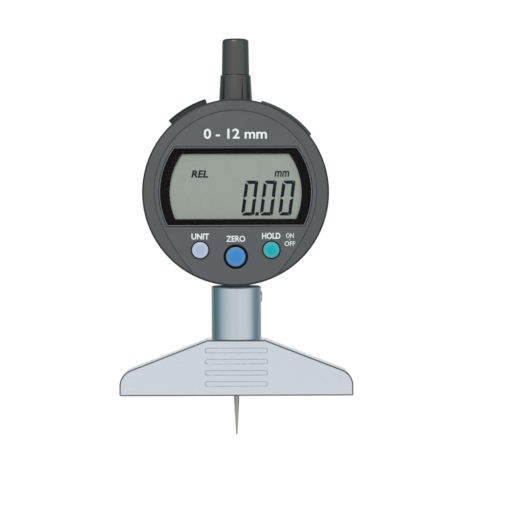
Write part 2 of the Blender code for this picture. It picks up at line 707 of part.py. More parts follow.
def make_front_case(plastic):
    """Case front: round shell, inner plate, the panel's recess and the screw posts."""
    rounding = (BODY_RADIUS - CASE_FRONT_ROUND, FRONT_Y + CASE_FRONT_ROUND)
    rear = SPLIT_Y - SEAT_GAP / 2
    profile = [
        (0, FRONT_Y),
        *arc(CASE_FRONT_ROUND, -90, 0, CORNER_STEPS, rounding),
        (BODY_RADIUS, rear),
        (CAVITY_RADIUS, rear),
        (CAVITY_RADIUS, PLATE_BACK_Y),
        (0, PLATE_BACK_Y),
    ]
    case = placed(turned("front_case", profile, BODY_STEPS, plastic), z=BODY_Z, turn=ALONG_Y)
    root = PLATE_BACK_Y - SEAT_GAP
    posts = slab(
        "case_posts", [circle(CASE_POST_RADIUS, FINE_STEPS, at) for at in post_places()], root, rear
    )
    board_posts = slab(
        "board_posts",
        [circle(BOARD_POST_RADIUS, FINE_STEPS, at) for at in board_post_places()],
        root,
        BOARD_Y - SEAT_GAP,
    )
    recess = slab(
        "panel_recess",
        [shield(PANEL_GROOVE, BODY_RADIUS + CUT_OVERRUN)],
        FRONT_Y - CUT_OVERRUN,
        PLATE_Y,
    )
    lcd_hole = slab(
        "lcd_hole", [lcd_outline(SEAT_GAP)], PLATE_Y - SEAT_GAP, PLATE_BACK_Y + SEAT_GAP
    )
    button_holes = slab(
        "plate_button_holes",
        [circle(radius + SLIDE_GAP, SMALL_STEPS, (x, z)) for _, x, z, radius, _ in button_places()],
        PLATE_Y - SEAT_GAP,
        PLATE_BACK_Y + SEAT_GAP,
    )
    screw_holes = slab(
        "case_screw_holes",
        [circle(CASE_SCREW_RADIUS + SEAT_GAP, FINE_STEPS, at) for at in post_places()],
        PLATE_BACK_Y,
        rear + CUT_OVERRUN,
    )
    board_holes = slab(
        "board_screw_holes",
        [circle(BOARD_SCREW_RADIUS + SEAT_GAP, FINE_STEPS, at) for at in board_post_places()],
        PLATE_BACK_Y,
        BOARD_Y + CUT_OVERRUN,
    )
    tools = (posts, board_posts, recess, lcd_hole, button_holes, screw_holes, board_holes)
    for tool in tools:
        placed(tool, z=BODY_Z)
    join(case, posts, board_posts)
    cut(case, recess, lcd_hole, button_holes, screw_holes, board_holes, spot_face())


def make_rear_case(plastic):
    """Case rear: the ring that carries the stem, the collar, the drawer and the port."""
    front = SPLIT_Y + SEAT_GAP / 2
    ring = [
        (BODY_RADIUS, CASE_BACK_DEPTH),
        (CAVITY_RADIUS, CASE_BACK_DEPTH),
        (CAVITY_RADIUS, front),
        (BODY_RADIUS, front),
    ]
    case = placed(turned("rear_case", ring, BODY_STEPS, plastic), z=BODY_Z, turn=ALONG_Y)
    posts = slab(
        "rear_posts",
        [circle(CASE_POST_RADIUS, FINE_STEPS, at) for at in post_places()],
        front,
        CASE_BACK_DEPTH,
    )
    screw_holes = slab(
        "rear_screw_holes",
        [circle(CASE_SCREW_RADIUS + SEAT_GAP, FINE_STEPS, at) for at in post_places()],
        front - CUT_OVERRUN,
        CASE_BACK_DEPTH + CUT_OVERRUN,
    )
    for tool in (posts, screw_holes):
        placed(tool, z=BODY_Z)
    stem_hole = bore_between("stem_hole", STEM_RADIUS + SEAT_GAP, -BODY_RADIUS, -CAVITY_RADIUS)
    collar_hole = bore_between(
        "collar_hole", BOSS_SPIGOT_RADIUS + SEAT_GAP, CAVITY_RADIUS, BODY_RADIUS
    )
    join(case, posts)
    cut(case, screw_holes, stem_hole, collar_hole, spot_face(), *drawer_opening(), port_opening())


def bore_between(name, radius, low, high):
    """An upright cutter through the case's wall, between two heights from its centre."""
    low = BODY_Z + low - CUT_OVERRUN
    high = BODY_Z + high + CUT_OVERRUN
    return turned(name, [(0, high), (radius, high), (radius, low), (0, low)], SMALL_STEPS)


def make_back_cover(plastic):
    rounding = (BODY_RADIUS - COVER_ROUND, COVER_BACK_Y - COVER_ROUND)
    profile = [
        (0, COVER_BACK_Y),
        *arc(COVER_ROUND, 90, 0, CORNER_STEPS, rounding),
        (BODY_RADIUS, COVER_Y),
        (0, COVER_Y),
    ]
    cover = placed(turned("back_cover", profile, BODY_STEPS, plastic), z=BODY_Z, turn=ALONG_Y)
    seat = COVER_Y + CASE_SCREW_SEAT
    heads = slab(
        "head_seats",
        [circle(CASE_SCREW_HEAD + SEAT_GAP, SMALL_STEPS, at) for at in post_places()],
        seat,
        COVER_BACK_Y + CUT_OVERRUN,
    )
    holes = slab(
        "cover_holes",
        [circle(CASE_SCREW_RADIUS + SEAT_GAP, FINE_STEPS, at) for at in post_places()],
        COVER_Y - CUT_OVERRUN,
        seat + SEAT_GAP,
    )
    for tool in (heads, holes):
        placed(tool, z=BODY_Z)
    cut(cover, heads, holes)


def make_screw(name, x, z, seat, tip, radius, head, head_height, steel):
    """A slotted cheese-head screw along Y, its head towards the back."""
    top = seat + head_height
    profile = [
        (0, top),
        (head - SCREW_SLOT_DEPTH / 2, top),
        (head, top - SCREW_SLOT_DEPTH / 2),
        (head, seat),
        (radius, seat),
        (radius, tip),
        (0, tip),
    ]
    screw = placed(turned(name, profile, FINE_STEPS, steel), x=x, z=z, turn=ALONG_Y)
    half = SCREW_SLOT_WIDTH / 2
    long_half = head + CUT_OVERRUN
    slot = slab(
        name + "_slot",
        [box(-long_half, long_half, -half, half)],
        top - SCREW_SLOT_DEPTH,
        top + CUT_OVERRUN,
    )
    cut(screw, placed(slot, x=x, z=z))


def make_screws(steel):
    seat = COVER_Y + CASE_SCREW_SEAT + SEAT_GAP
    tip = PLATE_BACK_Y + SCREW_END_GAP
    for number, (x, z) in enumerate(post_places(), 1):
        make_screw(
            f"back_screw_{number}",
            x,
            BODY_Z + z,
            seat,
            tip,
            CASE_SCREW_RADIUS,
            CASE_SCREW_HEAD,
            CASE_SCREW_HEAD_HEIGHT,
            steel,
        )
    for number, (x, z) in enumerate(board_post_places(), 1):
        make_screw(
            f"board_screw_{number}",
            x,
            BODY_Z + z,
            BOARD_BACK_Y + SEAT_GAP,
            tip,
            BOARD_SCREW_RADIUS,
            BOARD_SCREW_HEAD,
            BOARD_SCREW_HEAD_HEIGHT,
            steel,
        )


def make_face_panel(plastic):
    panel = placed(
        slab("face_panel", [shield(0, BODY_RADIUS)], FRONT_Y, PANEL_BACK_Y, plastic), z=BODY_Z
    )
    bevel(panel, PANEL_EDGE_BREAK)
    openings = [bezel_outline(SEAT_GAP)]
    openings += [circle(radius + ring, SMALL_STEPS, (x, z)) for _, x, z, radius, ring in button_places()]
    holes = slab("panel_holes", openings, FRONT_Y - CUT_OVERRUN, PANEL_BACK_Y + CUT_OVERRUN)
    cut(panel, placed(holes, z=BODY_Z))


def bezel_outline(margin):
    return lens(BEZEL_RADIUS + margin, BEZEL_TOP + margin, BEZEL_BOTTOM + margin)


def lcd_outline(margin):
    reach = LCD_HALF_WIDTH + margin
    return box(-reach, reach, -LCD_BOTTOM - margin, LCD_TOP + margin)


def make_display(black, clear, glass, rubber):
    """Window and bezel in the panel; display, its frame and contact strips behind the plate."""
    front = FRONT_Y + BEZEL_SET_BACK
    flange = PANEL_BACK_Y - BEZEL_FLANGE
    bezel = placed(slab("window_bezel", [bezel_outline(0)], front, PANEL_BACK_Y, black), z=BODY_Z)
    seat = slab("window_seat", [bezel_outline(-BEZEL_LIP)], front - CUT_OVERRUN, flange)
    view = slab(
        "view_hole",
        [lens(VIEW_RADIUS, VIEW_TOP, VIEW_BOTTOM)],
        flange - CUT_OVERRUN,
        PANEL_BACK_Y + CUT_OVERRUN,
    )
    for tool in (seat, view):
        placed(tool, z=BODY_Z)
    cut(bezel, seat, view)

    pane_back = flange - SEAT_GAP
    pane = slab(
        "window",
        [bezel_outline(-BEZEL_LIP - SEAT_GAP)],
        pane_back - WINDOW_THICKNESS,
        pane_back,
        clear,
    )
    bevel(placed(pane, z=BODY_Z), PANEL_EDGE_BREAK)
    placed(slab("lcd_panel", [lcd_outline(0)], PLATE_Y, LCD_BACK_Y, glass), z=BODY_Z)

    near = LCD_BACK_Y + SEAT_GAP
    far = BOARD_Y - SEAT_GAP
    frame = placed(slab("lcd_frame", [lcd_outline(0)], near, far, black), z=BODY_Z)
    inside = slab("frame_hole", [lcd_outline(-FRAME_WALL)], near - CUT_OVERRUN, far + CUT_OVERRUN)
    cut(frame, placed(inside, z=BODY_Z))
    half = LCD_HALF_WIDTH - ZEBRA_INSET
    top = LCD_TOP - FRAME_WALL - SEAT_GAP
    bottom = -LCD_BOTTOM + FRAME_WALL + SEAT_GAP
    upper = box(-half, half, top - ZEBRA_WIDTH, top)
    lower = box(-half, half, bottom, bottom + ZEBRA_WIDTH)
    placed(slab("zebra_strip_upper", [upper], near, far, rubber), z=BODY_Z)
    placed(slab("zebra_strip_lower", [lower], near, far, rubber), z=BODY_Z)


def make_button(name, x, z, radius, material):
    """A push button: a crowned cap in front and a flange behind the case's plate."""
    crown = FRONT_Y - BUTTON_PROUD
    shoulder = crown + BUTTON_CROWN
    flange = PLATE_BACK_Y + SEAT_GAP
    end = flange + BUTTON_FLANGE_THICKNESS
    rounding = (radius - BUTTON_ROUND, shoulder + BUTTON_ROUND)
    profile = [
        (0, crown),
        (radius / 2, crown + BUTTON_CROWN / 4),
        *arc(BUTTON_ROUND, -90, 0, CORNER_STEPS, rounding),
        (radius, flange),
        (radius + BUTTON_FLANGE, flange),
        (radius + BUTTON_FLANGE, end),
        (0, end),
    ]
    placed(turned(name, profile, SMALL_STEPS, material), x=x, z=BODY_Z + z, turn=ALONG_Y)


def make_keypad(rubber, colours):
    for (name, x, z, radius, _), material in zip(button_places(), colours):
        make_button(name, x, z, radius, material)
    outer_angle = math.degrees(math.atan2(-SIDE_BUTTON_DROP, SIDE_BUTTON_SPREAD))
    middle = (math.hypot(SIDE_BUTTON_SPREAD, SIDE_BUTTON_DROP) + SET_BUTTON_DROP) / 2
    ends = (180 - outer_angle, 360 + outer_angle)
    outer = arc(middle + MAT_HALF_WIDTH, *ends, 3 * CORNER_STEPS)
    inner = arc(middle - MAT_HALF_WIDTH, *reversed(ends), 3 * CORNER_STEPS)
    right = arc(middle, ends[1], ends[1], 1)[0]
    left = arc(middle, ends[0], ends[0], 1)[0]
    right_end = arc(MAT_HALF_WIDTH, ends[1], ends[1] + 180, 2 * CORNER_STEPS, right)
    left_end = arc(MAT_HALF_WIDTH, ends[0] + 180, ends[0] + 360, 2 * CORNER_STEPS, left)
    outline = outer + right_end[1:-1] + inner + left_end[1:-1]
    near = PLATE_BACK_Y + SEAT_GAP + BUTTON_FLANGE_THICKNESS + BUTTON_TRAVEL + SEAT_GAP
    placed(slab("keypad_mat", [outline], near, BOARD_Y - SEAT_GAP, rubber), z=BODY_Z)


def make_board(green, black, copper):
    """Circuit board, its chip, and the head that reads the scale."""
    board_radius = CASE_POST_CIRCLE - CASE_POST_RADIUS - SLIDE_GAP
    board = placed(
        slab("main_board", [circle(board_radius, 2 * ROUND_STEPS)], BOARD_Y, BOARD_BACK_Y, green),
        z=BODY_Z,
    )
    holes = slab(
        "board_holes",
        [circle(BOARD_SCREW_RADIUS + SEAT_GAP, FINE_STEPS, at) for at in board_post_places()],
        BOARD_Y - CUT_OVERRUN,
        BOARD_BACK_Y + CUT_OVERRUN,
    )
    cut(board, placed(holes, z=BODY_Z))
    near = BOARD_BACK_Y + SEAT_GAP
    half = CHIP_SIDE / 2
    chip_x = -BODY_RADIUS * CHIP_SPREAD_SHARE
    chip_z = -BODY_RADIUS * CHIP_DROP_SHARE
    chip = box(chip_x - half, chip_x + half, chip_z - half, chip_z + half)
    placed(slab("controller_chip", [chip], near, near + CHIP_HEIGHT, black), z=BODY_Z)
    head_low = -BODY_RADIUS * HEAD_BOTTOM_SHARE
    head = box(-HEAD_HALF_WIDTH, HEAD_HALF_WIDTH, head_low, BODY_RADIUS * HEAD_TOP_SHARE)
    placed(slab("reader_head", [head], near, near + HEAD_THICKNESS, copper), z=BODY_Z)


def make_carriage(aluminium, glass, steel, black):
    """What the spindle carries in the case, and the rail that keeps it from turning."""
    low = CARRIER_FOOT_Z - BODY_Z
    high = low + CARRIER_HEIGHT
    block = box(-CARRIER_HALF_WIDTH, CARRIER_HALF_WIDTH, low, high)
    carrier = placed(
        slab("scale_carrier", [block], CARRIER_Y, CARRIER_BACK, aluminium), z=BODY_Z
    )
    arm_top = high - ARM_THICKNESS
    reach = CARRIER_HALF_WIDTH + ARM_LENGTH
    arm = slab(
        "spring_arm",
        [box(-reach, -SPINDLE_RADIUS, arm_top - ARM_THICKNESS, arm_top)],
        -ARM_HALF_DEPTH,
        ARM_HALF_DEPTH,
    )
    join(carrier, placed(arm, z=BODY_Z))
    bore_radius = SPINDLE_RADIUS + SEAT_GAP
    bore_low = low - CUT_OVERRUN
    bore_high = high + CUT_OVERRUN
    bore = turned(
        "carrier_bore",
        [(0, bore_high), (bore_radius, bore_high), (bore_radius, bore_low), (0, bore_low)],
        SMALL_STEPS,
    )
    pin_height = low + CARRIER_HEIGHT * PIN_HEIGHT_SHARE
    hole_radius = PIN_RADIUS + SEAT_GAP
    far = CARRIER_HALF_WIDTH + CUT_OVERRUN
    hole = turned(
        "pin_hole", [(0, far), (hole_radius, far), (hole_radius, 0), (0, 0)], FINE_STEPS
    )
    placed(bore, z=BODY_Z)
    placed(hole, z=BODY_Z + pin_height, turn=ALONG_X)
    cut(carrier, bore, hole)

    start = bore_radius + SEAT_GAP
    end = start + PIN_LENGTH
    pin = turned(
        "guide_pin", [(0, end), (PIN_RADIUS, end), (PIN_RADIUS, start), (0, start)], FINE_STEPS, steel
    )
    placed(pin, z=BODY_Z + pin_height, turn=ALONG_X)
    scale = box(-SCALE_HALF_WIDTH, SCALE_HALF_WIDTH, SCALE_FOOT_Z - BODY_Z, SCALE_REACH)
    placed(slab("linear_scale", [scale], SCALE_Y, SCALE_Y + SCALE_THICKNESS, glass), z=BODY_Z)
    make_guide_rail(pin_height, end, black)
    make_return_spring(arm_top - ARM_THICKNESS, steel)


def make_guide_rail(pin_height, pin_end, black):
    """A channel, open to the left, that stands on the back cover; the pin slides in it."""
    slot = PIN_RADIUS + SLIDE_GAP
    floor = pin_end + RAIL_END_GAP
    near = floor - RAIL_GRIP
    far = floor + RAIL_WALL
    back = COVER_Y - SEAT_GAP
    front = slot + RAIL_WALL
    outline = [(near, -back), (far, -back), (far, front), (near, front)]
    outline += [(near, slot), (floor, slot), (floor, -slot), (near, -slot)]
    low = pin_height - PIN_RADIUS - RAIL_WALL
    high = pin_height + SPINDLE_TRAVEL + PIN_RADIUS + RAIL_WALL
    placed(slab("guide_rail", [outline], low, high, black), z=BODY_Z, turn=UPRIGHT)


def make_return_spring(arm_low, steel):
    """The post on the back cover and the spring that pulls the carrier's arm towards it."""
    axis_x = -CARRIER_HALF_WIDTH - ARM_LENGTH / 2 - SPRING_RADIUS
    back = COVER_Y - SEAT_GAP
    post = turned(
        "spring_post",
        [(0, back), (POST_RADIUS, back), (POST_RADIUS, -POST_FRONT), (0, -POST_FRONT)],
        FINE_STEPS,
        steel,
    )
    placed(post, x=axis_x, z=SPRING_POST_Z, turn=ALONG_Y)

    low = SPRING_POST_Z + POST_RADIUS + SLIDE_GAP
    high = BODY_Z + arm_low - SLIDE_GAP
    tail = 2 * SPRING_WIRE
    count = SPRING_TURNS * SPRING_POINTS
    rise = high - low - 2 * tail
    points = [(axis_x + SPRING_RADIUS, 0, low)]
    for i in range(count + 1):
        angle = math.tau * i / SPRING_POINTS
        x = axis_x + SPRING_RADIUS * math.cos(angle)
        y = SPRING_RADIUS * math.sin(angle)
        points.append((x, y, low + tail + rise * i / count))
    points.append((axis_x + SPRING_RADIUS, 0, high))
    curve = bpy.data.curves.new("return_spring", "CURVE")
    curve.dimensions = "3D"
    curve.bevel_depth = SPRING_WIRE
    curve.bevel_resolution = 1
    curve.use_fill_caps = True
    curve.materials.append(steel)
    spline = curve.splines.new("POLY")
    spline.points.add(len(points) - 1)
    for point, place in zip(spline.points, points):
        point.co = (*place, 1)
    bpy.context.collection.objects.link(bpy.data.objects.new("return_spring", curve))
    gap = rise / SPRING_TURNS - 2 * SPRING_WIRE
    print(f"return_spring: {SPRING_TURNS} turns, least gap {gap * 1000:.2f} mm")


def make_collar(plastic):
    """The fluted collar on the case; it holds the upper bush and the dust cap's plug."""
    spigot_foot = BOSS_FOOT_Z - BOSS_SPIGOT_LENGTH
    plug_floor = BOSS_TOP_Z - BOSS_PLUG_DEPTH
    plug_bore = PLUG_RADIUS + SEAT_GAP
    profile = [
        (plug_bore, BOSS_TOP_Z),
        (BOSS_TOP_RADIUS - BOSS_BREAK, BOSS_TOP_Z),
        (BOSS_TOP_RADIUS, BOSS_TOP_Z - BOSS_BREAK),
        (BOSS_FOOT_RADIUS, BOSS_FOOT_Z),
        (BOSS_SPIGOT_RADIUS, BOSS_FOOT_Z),
        (BOSS_SPIGOT_RADIUS, spigot_foot),
        (STEM_BORE_RADIUS, spigot_foot),
        (STEM_BORE_RADIUS, plug_floor),
        (plug_bore, plug_floor),
    ]
    collar = turned("cap_boss", profile, ROUND_STEPS, plastic)
    outlines = []
    for angle, width in FLUTES:
        for facing in (angle - 90, 90 - angle):
            turn = math.radians(facing)
            out_x, out_y = math.cos(turn), math.sin(turn)
            corners = []
            for reach, side in ((-1, -1), (1, -1), (1, 1), (-1, 1)):
                depth = BOSS_TOP_RADIUS - FLUTE_DEPTH if reach < 0 else BOSS_FOOT_RADIUS + CUT_OVERRUN
                across = side * width / 2
                corners.append((out_x * depth - out_y * across, -out_y * depth - out_x * across))
            outlines.append(corners)
    foot = BOSS_FOOT_Z + BOSS_BREAK
    flutes = slab("flutes", outlines, foot, BOSS_TOP_Z + CUT_OVERRUN)
    cut(collar, placed(flutes, turn=UPRIGHT))


def make_dust_cap(plastic):
    plug_foot = CAP_FOOT_Z - BOSS_PLUG_DEPTH + SEAT_GAP
    roof = CAP_TOP_Z - CAP_ROOF
    rounding = (CAP_TOP_RADIUS - CAP_ROUND, CAP_TOP_Z - CAP_ROUND)
    profile = [
        (0, CAP_TOP_Z),
        *arc(CAP_ROUND, 90, 0, CORNER_STEPS, rounding),
        (CAP_FOOT_RADIUS, CAP_FOOT_Z),
        (PLUG_RADIUS, CAP_FOOT_Z),
        (PLUG_RADIUS, plug_foot),
        (CAP_BORE_RADIUS, plug_foot),
        (CAP_BORE_RADIUS, roof),
        (0, roof),
    ]
    turned("dust_cap", profile, ROUND_STEPS, plastic)


def spoke(name, angle):
    """An empty at the case's centre whose X axis points out at an angle in the front plane."""
    guide = bpy.data.objects.new(name, None)
    bpy.context.collection.objects.link(guide)
    return placed(guide, z=BODY_Z, turn=(0, -angle, 0))


def drawer_depths():
    """The tray's front and back edges along Y, round the cell."""
    near = CELL_CENTRE_DEPTH - CELL_THICKNESS / 2 - SEAT_GAP
    return near, near + CELL_THICKNESS + 2 * SEAT_GAP + DRAWER_WALL


def drawer_opening():
    """The pocket for the drawer's cover and the slot for its tray, cut into the case's side."""
    near, far = drawer_depths()
    cover_back = BODY_RADIUS + DRAWER_PROUD - DRAWER_COVER_THICKNESS - SEAT_GAP
    gap_angle = math.degrees(SEAT_GAP / BODY_RADIUS)
    pocket = slab(
        "drawer_pocket",
        [sector(cover_back, BODY_RADIUS + CUT_OVERRUN, DRAWER_HALF_ANGLE + gap_angle, FINE_STEPS)],
        near - DRAWER_COVER_MARGIN - SEAT_GAP,
        far + DRAWER_COVER_MARGIN / 2 + SEAT_GAP,
    )
    half = CELL_RADIUS + SEAT_GAP + DRAWER_WALL + SEAT_GAP
    slot = slab(
        "drawer_slot",
        [box(CELL_CENTRE_RADIUS, BODY_RADIUS, -half, half)],
        near - SEAT_GAP,
        far + SEAT_GAP,
    )
    guide = spoke("drawer_cut_spoke", DRAWER_ANGLE)
    return placed(pocket, parent=guide), placed(slot, parent=guide)


def make_battery_drawer(plastic, steel, spring_steel):
    """The drawer slides out along its spoke and carries the coin cell."""
    guide = spoke("drawer_spoke", DRAWER_ANGLE)
    near, far = drawer_depths()
    pocket_radius = CELL_RADIUS + SEAT_GAP
    tray_half = pocket_radius + DRAWER_WALL
    outer = BODY_RADIUS + DRAWER_PROUD
    inner = outer - DRAWER_COVER_THICKNESS
    centre = (CELL_CENTRE_RADIUS, 0)
    cover = slab(
        "battery_drawer",
        [sector(inner, outer, DRAWER_HALF_ANGLE, FINE_STEPS)],
        near - DRAWER_COVER_MARGIN,
        far + DRAWER_COVER_MARGIN / 2,
        plastic,
    )
    bevel(placed(cover, parent=guide), DRAWER_EDGE_ROUND)
    tray_end = math.sqrt(outer**2 - tray_half**2) - DRAWER_EDGE_ROUND
    outline = arc(tray_half, 90, 270, SMALL_STEPS, centre)
    outline += [(tray_end, -tray_half), (tray_end, tray_half)]
    tray = slab("drawer_tray", [outline], near, far)
    well = slab(
        "cell_well",
        [circle(pocket_radius, ROUND_STEPS, centre)],
        near - CUT_OVERRUN,
        far - DRAWER_WALL,
    )
    join(cover, placed(tray, parent=guide))
    cut(cover, placed(well, parent=guide))

    front = CELL_CENTRE_DEPTH - CELL_THICKNESS / 2
    back = CELL_CENTRE_DEPTH + CELL_THICKNESS / 2
    step = CELL_RADIUS - 2 * CELL_STEP
    profile = [
        (0, front),
        (step, front),
        (step, front + CELL_STEP),
        (CELL_RADIUS - CELL_ROUND, front + CELL_STEP),
        (CELL_RADIUS, front + CELL_STEP + CELL_ROUND),
        (CELL_RADIUS, back - CELL_ROUND),
        (CELL_RADIUS - CELL_ROUND, back),
        (0, back),
    ]
    cell = turned("coin_cell", profile, ROUND_STEPS, steel)
    placed(cell, x=CELL_CENTRE_RADIUS, turn=ALONG_Y, parent=guide)
    make_contact("battery_contact_minus", 0, guide, spring_steel)
    make_contact("battery_contact_plus", -CELL_RADIUS * CONTACT_SPREAD_SHARE, guide, spring_steel)


def make_contact(name, across, guide, material):
    """A bent leaf from the board to the open front of the cell."""
    leaf = drawer_depths()[0] - SEAT_GAP
    foot = BOARD_BACK_Y + SEAT_GAP
    start = CELL_CENTRE_RADIUS - CELL_RADIUS * CONTACT_FOOT_SHARE
    end = CELL_CENTRE_RADIUS + CELL_RADIUS * (1 - CONTACT_OVERLAP_SHARE)
    inner = start + CONTACT_THICKNESS
    outline = [
        (start, -foot),
        (start, -leaf),
        (end, -leaf),
        (end, -leaf + CONTACT_THICKNESS),
        (inner, -leaf + CONTACT_THICKNESS),
        (inner, -foot),
    ]
    half = CONTACT_WIDTH / 2
    strip = slab(name, [outline], across - half, across + half, material)
    placed(strip, turn=UPRIGHT, parent=guide)


def port_opening():
    """The cut in the case's side that the data port looks out of."""
    reach = PORT_HALF_LENGTH
    hole = slab(
        "port_hole",
        [box(CAVITY_RADIUS - CUT_OVERRUN, BODY_RADIUS + CUT_OVERRUN, -reach, reach)],
        PORT_DEPTH - PORT_HALF_WIDTH,
        PORT_DEPTH + PORT_HALF_WIDTH,
    )
    return placed(hole, parent=spoke("port_cut_spoke", PORT_ANGLE))


def make_data_port(black, rubber):
    """The socket on the board and the rubber cover that plugs it."""
    guide = spoke("port_spoke", PORT_ANGLE)
    outer = math.sqrt(CAVITY_RADIUS**2 - SOCKET_HALF_LENGTH**2) - SEAT_GAP
    inner = outer - SOCKET_LENGTH
    half = SOCKET_HALF_LENGTH
    socket = slab(
        "data_socket",
        [box(inner, outer, -half, half)],
        BOARD_BACK_Y + SEAT_GAP,
        SOCKET_BACK,
        black,
    )
    slot_half = PLUG_HALF_LENGTH + SLIDE_GAP
    slot = slab(
        "socket_slot",
        [box(outer - SOCKET_SLOT_DEPTH, outer + CUT_OVERRUN, -slot_half, slot_half)],
        PORT_DEPTH - PLUG_HALF_WIDTH - SLIDE_GAP,
        PORT_DEPTH + PLUG_HALF_WIDTH + SLIDE_GAP,
    )
    cut(placed(socket, parent=guide), placed(slot, parent=guide))

    skin = BODY_RADIUS + SEAT_GAP
    cover = slab(
        "data_cover",
        [sector(skin, skin + PORT_COVER_THICKNESS, PORT_HALF_ANGLE, FINE_STEPS)],
        PORT_DEPTH - PORT_COVER_HALF_DEPTH,
        PORT_DEPTH + PORT_COVER_HALF_DEPTH,
        rubber,
    )
    bevel(placed(cover, parent=guide), PORT_COVER_ROUND, 2)
    tip = outer - SOCKET_SLOT_DEPTH + SLIDE_GAP
    plug = slab(
        "cover_plug",
        [box(tip, skin + PORT_COVER_THICKNESS / 2, -PLUG_HALF_LENGTH, PLUG_HALF_LENGTH)],
        PORT_DEPTH - PLUG_HALF_WIDTH,
        PORT_DEPTH + PLUG_HALF_WIDTH,
    )
    join(cover, placed(plug, parent=guide))


def main():
    clear_scene()
    ground_steel = finish("ground_steel", 206, 211, 215, 0.32, 1.0)
    bright_steel = finish("bright_steel", 180, 192, 198, 0.22, 1.0)
    screw_steel = finish("screw_steel", 70, 72, 76, 0.35, 1.0)
    spring_steel = finish("spring_steel", 170, 172, 176, 0.30, 1.0)
    brass = finish("brass", 190, 160, 90, 0.35, 1.0)
    aluminium = finish("aluminium", 185, 188, 192, 0.45, 1.0)
    case_plastic = finish("case_plastic", 91, 95, 99, 0.55)
    panel_plastic = finish("panel_plastic", 96, 100, 104, 0.50)
    collar_plastic = finish("collar_plastic", 80, 85, 85, 0.50)
    black_plastic = finish("black_plastic", 21, 22, 18, 0.35)
    rubber = finish("rubber", 45, 48, 48, 0.75)
    clear = finish("clear_glass", 220, 226, 226, 0.05)
    display = finish("display_glass", 152, 161, 153, 0.30)
    scale_glass = finish("scale_glass", 150, 165, 160, 0.15)
    board_green = finish("board_green", 30, 82, 52, 0.45)
    copper = finish("copper", 170, 110, 70, 0.40, 1.0)
    button_colours = (
        finish("mode_colour", 167, 181, 207, 0.45),
        finish("set_colour", 61, 133, 200, 0.45),
        finish("data_colour", 25, 172, 181, 0.45),
    )

    make_base(ground_steel)
    make_sleeve(bright_steel)
    make_clamp(screw_steel, brass)
    make_stem(bright_steel, brass)
    make_spindle(bright_steel, rubber)
    make_front_case(case_plastic)
    make_rear_case(case_plastic)
    make_back_cover(case_plastic)
    make_face_panel(panel_plastic)
    make_display(black_plastic, clear, display, rubber)
    make_keypad(rubber, button_colours)
    make_board(board_green, black_plastic, copper)
    make_carriage(aluminium, scale_glass, spring_steel, black_plastic)
    make_collar(collar_plastic)
    make_dust_cap(collar_plastic)
    make_battery_drawer(case_plastic, spring_steel, spring_steel)
    make_data_port(black_plastic, rubber)
    make_screws(screw_steel)


main()
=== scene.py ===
"""The looks of a digital depth gauge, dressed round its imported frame.

Lengths are in metres and angles in degrees; +Z is up and the display faces -Y. A piece that stands
for a node takes its place and its outer size from that node's box.
"""

import json
import math

import bmesh
import bpy
from mathutils import Matrix, Vector


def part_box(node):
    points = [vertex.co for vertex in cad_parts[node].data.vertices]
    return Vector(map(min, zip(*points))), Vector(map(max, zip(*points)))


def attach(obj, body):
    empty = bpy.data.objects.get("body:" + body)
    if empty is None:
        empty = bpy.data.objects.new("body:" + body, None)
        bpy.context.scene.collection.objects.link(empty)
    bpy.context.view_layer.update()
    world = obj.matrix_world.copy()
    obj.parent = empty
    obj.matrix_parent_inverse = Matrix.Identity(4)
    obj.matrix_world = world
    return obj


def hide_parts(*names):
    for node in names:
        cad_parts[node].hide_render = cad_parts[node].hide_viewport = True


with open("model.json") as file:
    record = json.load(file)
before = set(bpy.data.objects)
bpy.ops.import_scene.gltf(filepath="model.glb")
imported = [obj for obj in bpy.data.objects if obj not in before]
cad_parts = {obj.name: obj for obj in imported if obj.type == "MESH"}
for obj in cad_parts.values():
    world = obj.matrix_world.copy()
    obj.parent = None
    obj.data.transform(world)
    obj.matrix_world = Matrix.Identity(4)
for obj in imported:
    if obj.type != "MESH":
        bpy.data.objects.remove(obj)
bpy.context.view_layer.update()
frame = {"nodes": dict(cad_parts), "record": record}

# Facets of round shapes
BODY_STEPS = 160
ROUND_STEPS = 96
SMALL_STEPS = 48
CORNER_STEPS = 8
SMOOTH_ANGLE = 40

# Fits and cuts
SEAT_GAP = 0.0002
SLIDE_GAP = 0.0003
OVERRUN = 0.002
WELD = 0.000001

# Measuring base
BASE_LAND = 0.0187
BASE_END_RADIUS = 0.0055
BASE_END_HEIGHT = 0.0032
BASE_FOOT_RADIUS = 0.0005
BASE_EDGE_BREAK = 0.00045
BASE_BORE_RADIUS = 0.0030
GRIP_SLOT_COUNT = 4
GRIP_SLOT_LENGTH = 0.0200
GRIP_SLOT_WIDTH = 0.0015
GRIP_SLOT_DEPTH = 0.00045
GRIP_SLOT_PITCH = 0.00358
GRIP_SLOT_FIRST = 0.00385
GRIP_SLOT_BREAK = 0.00015
LEDGE_SLOPE = 0.2

# Sleeve, clamp and needle
SLEEVE_TOP_ROUND = 0.0010
SLEEVE_FOOT_BREAK = 0.0001
SLEEVE_SEAT_GAP = 0.00003
SHOULDER_SLOPE = 0.2
SPIGOT_RADIUS = 0.0058
SLEEVE_BORE_RADIUS = 0.0042
CLAMP_RADIUS = 0.0020
CLAMP_BREAK = 0.0003
CLAMP_ROUND = 0.0008
CLAMP_SOCKET_RADIUS = 0.00115
CLAMP_SOCKET_DEPTH = 0.0016
CLAMP_SOCKET_SIDES = 6
NEEDLE_TIP_RADIUS = 0.00015
NEEDLE_ROUND = 0.00008
NEEDLE_WAIST_HEIGHT = 0.0070
NEEDLE_WAIST_RADIUS = 0.00065
NEEDLE_TAPER_LENGTH = 0.0155
NEEDLE_TAPER_RADIUS = 0.00098
NEEDLE_SHANK_LENGTH = 0.0038
NEEDLE_SHOULDER = 0.0010
NEEDLE_THREAD_RADIUS = 0.00125
NEEDLE_BREAK = 0.0002
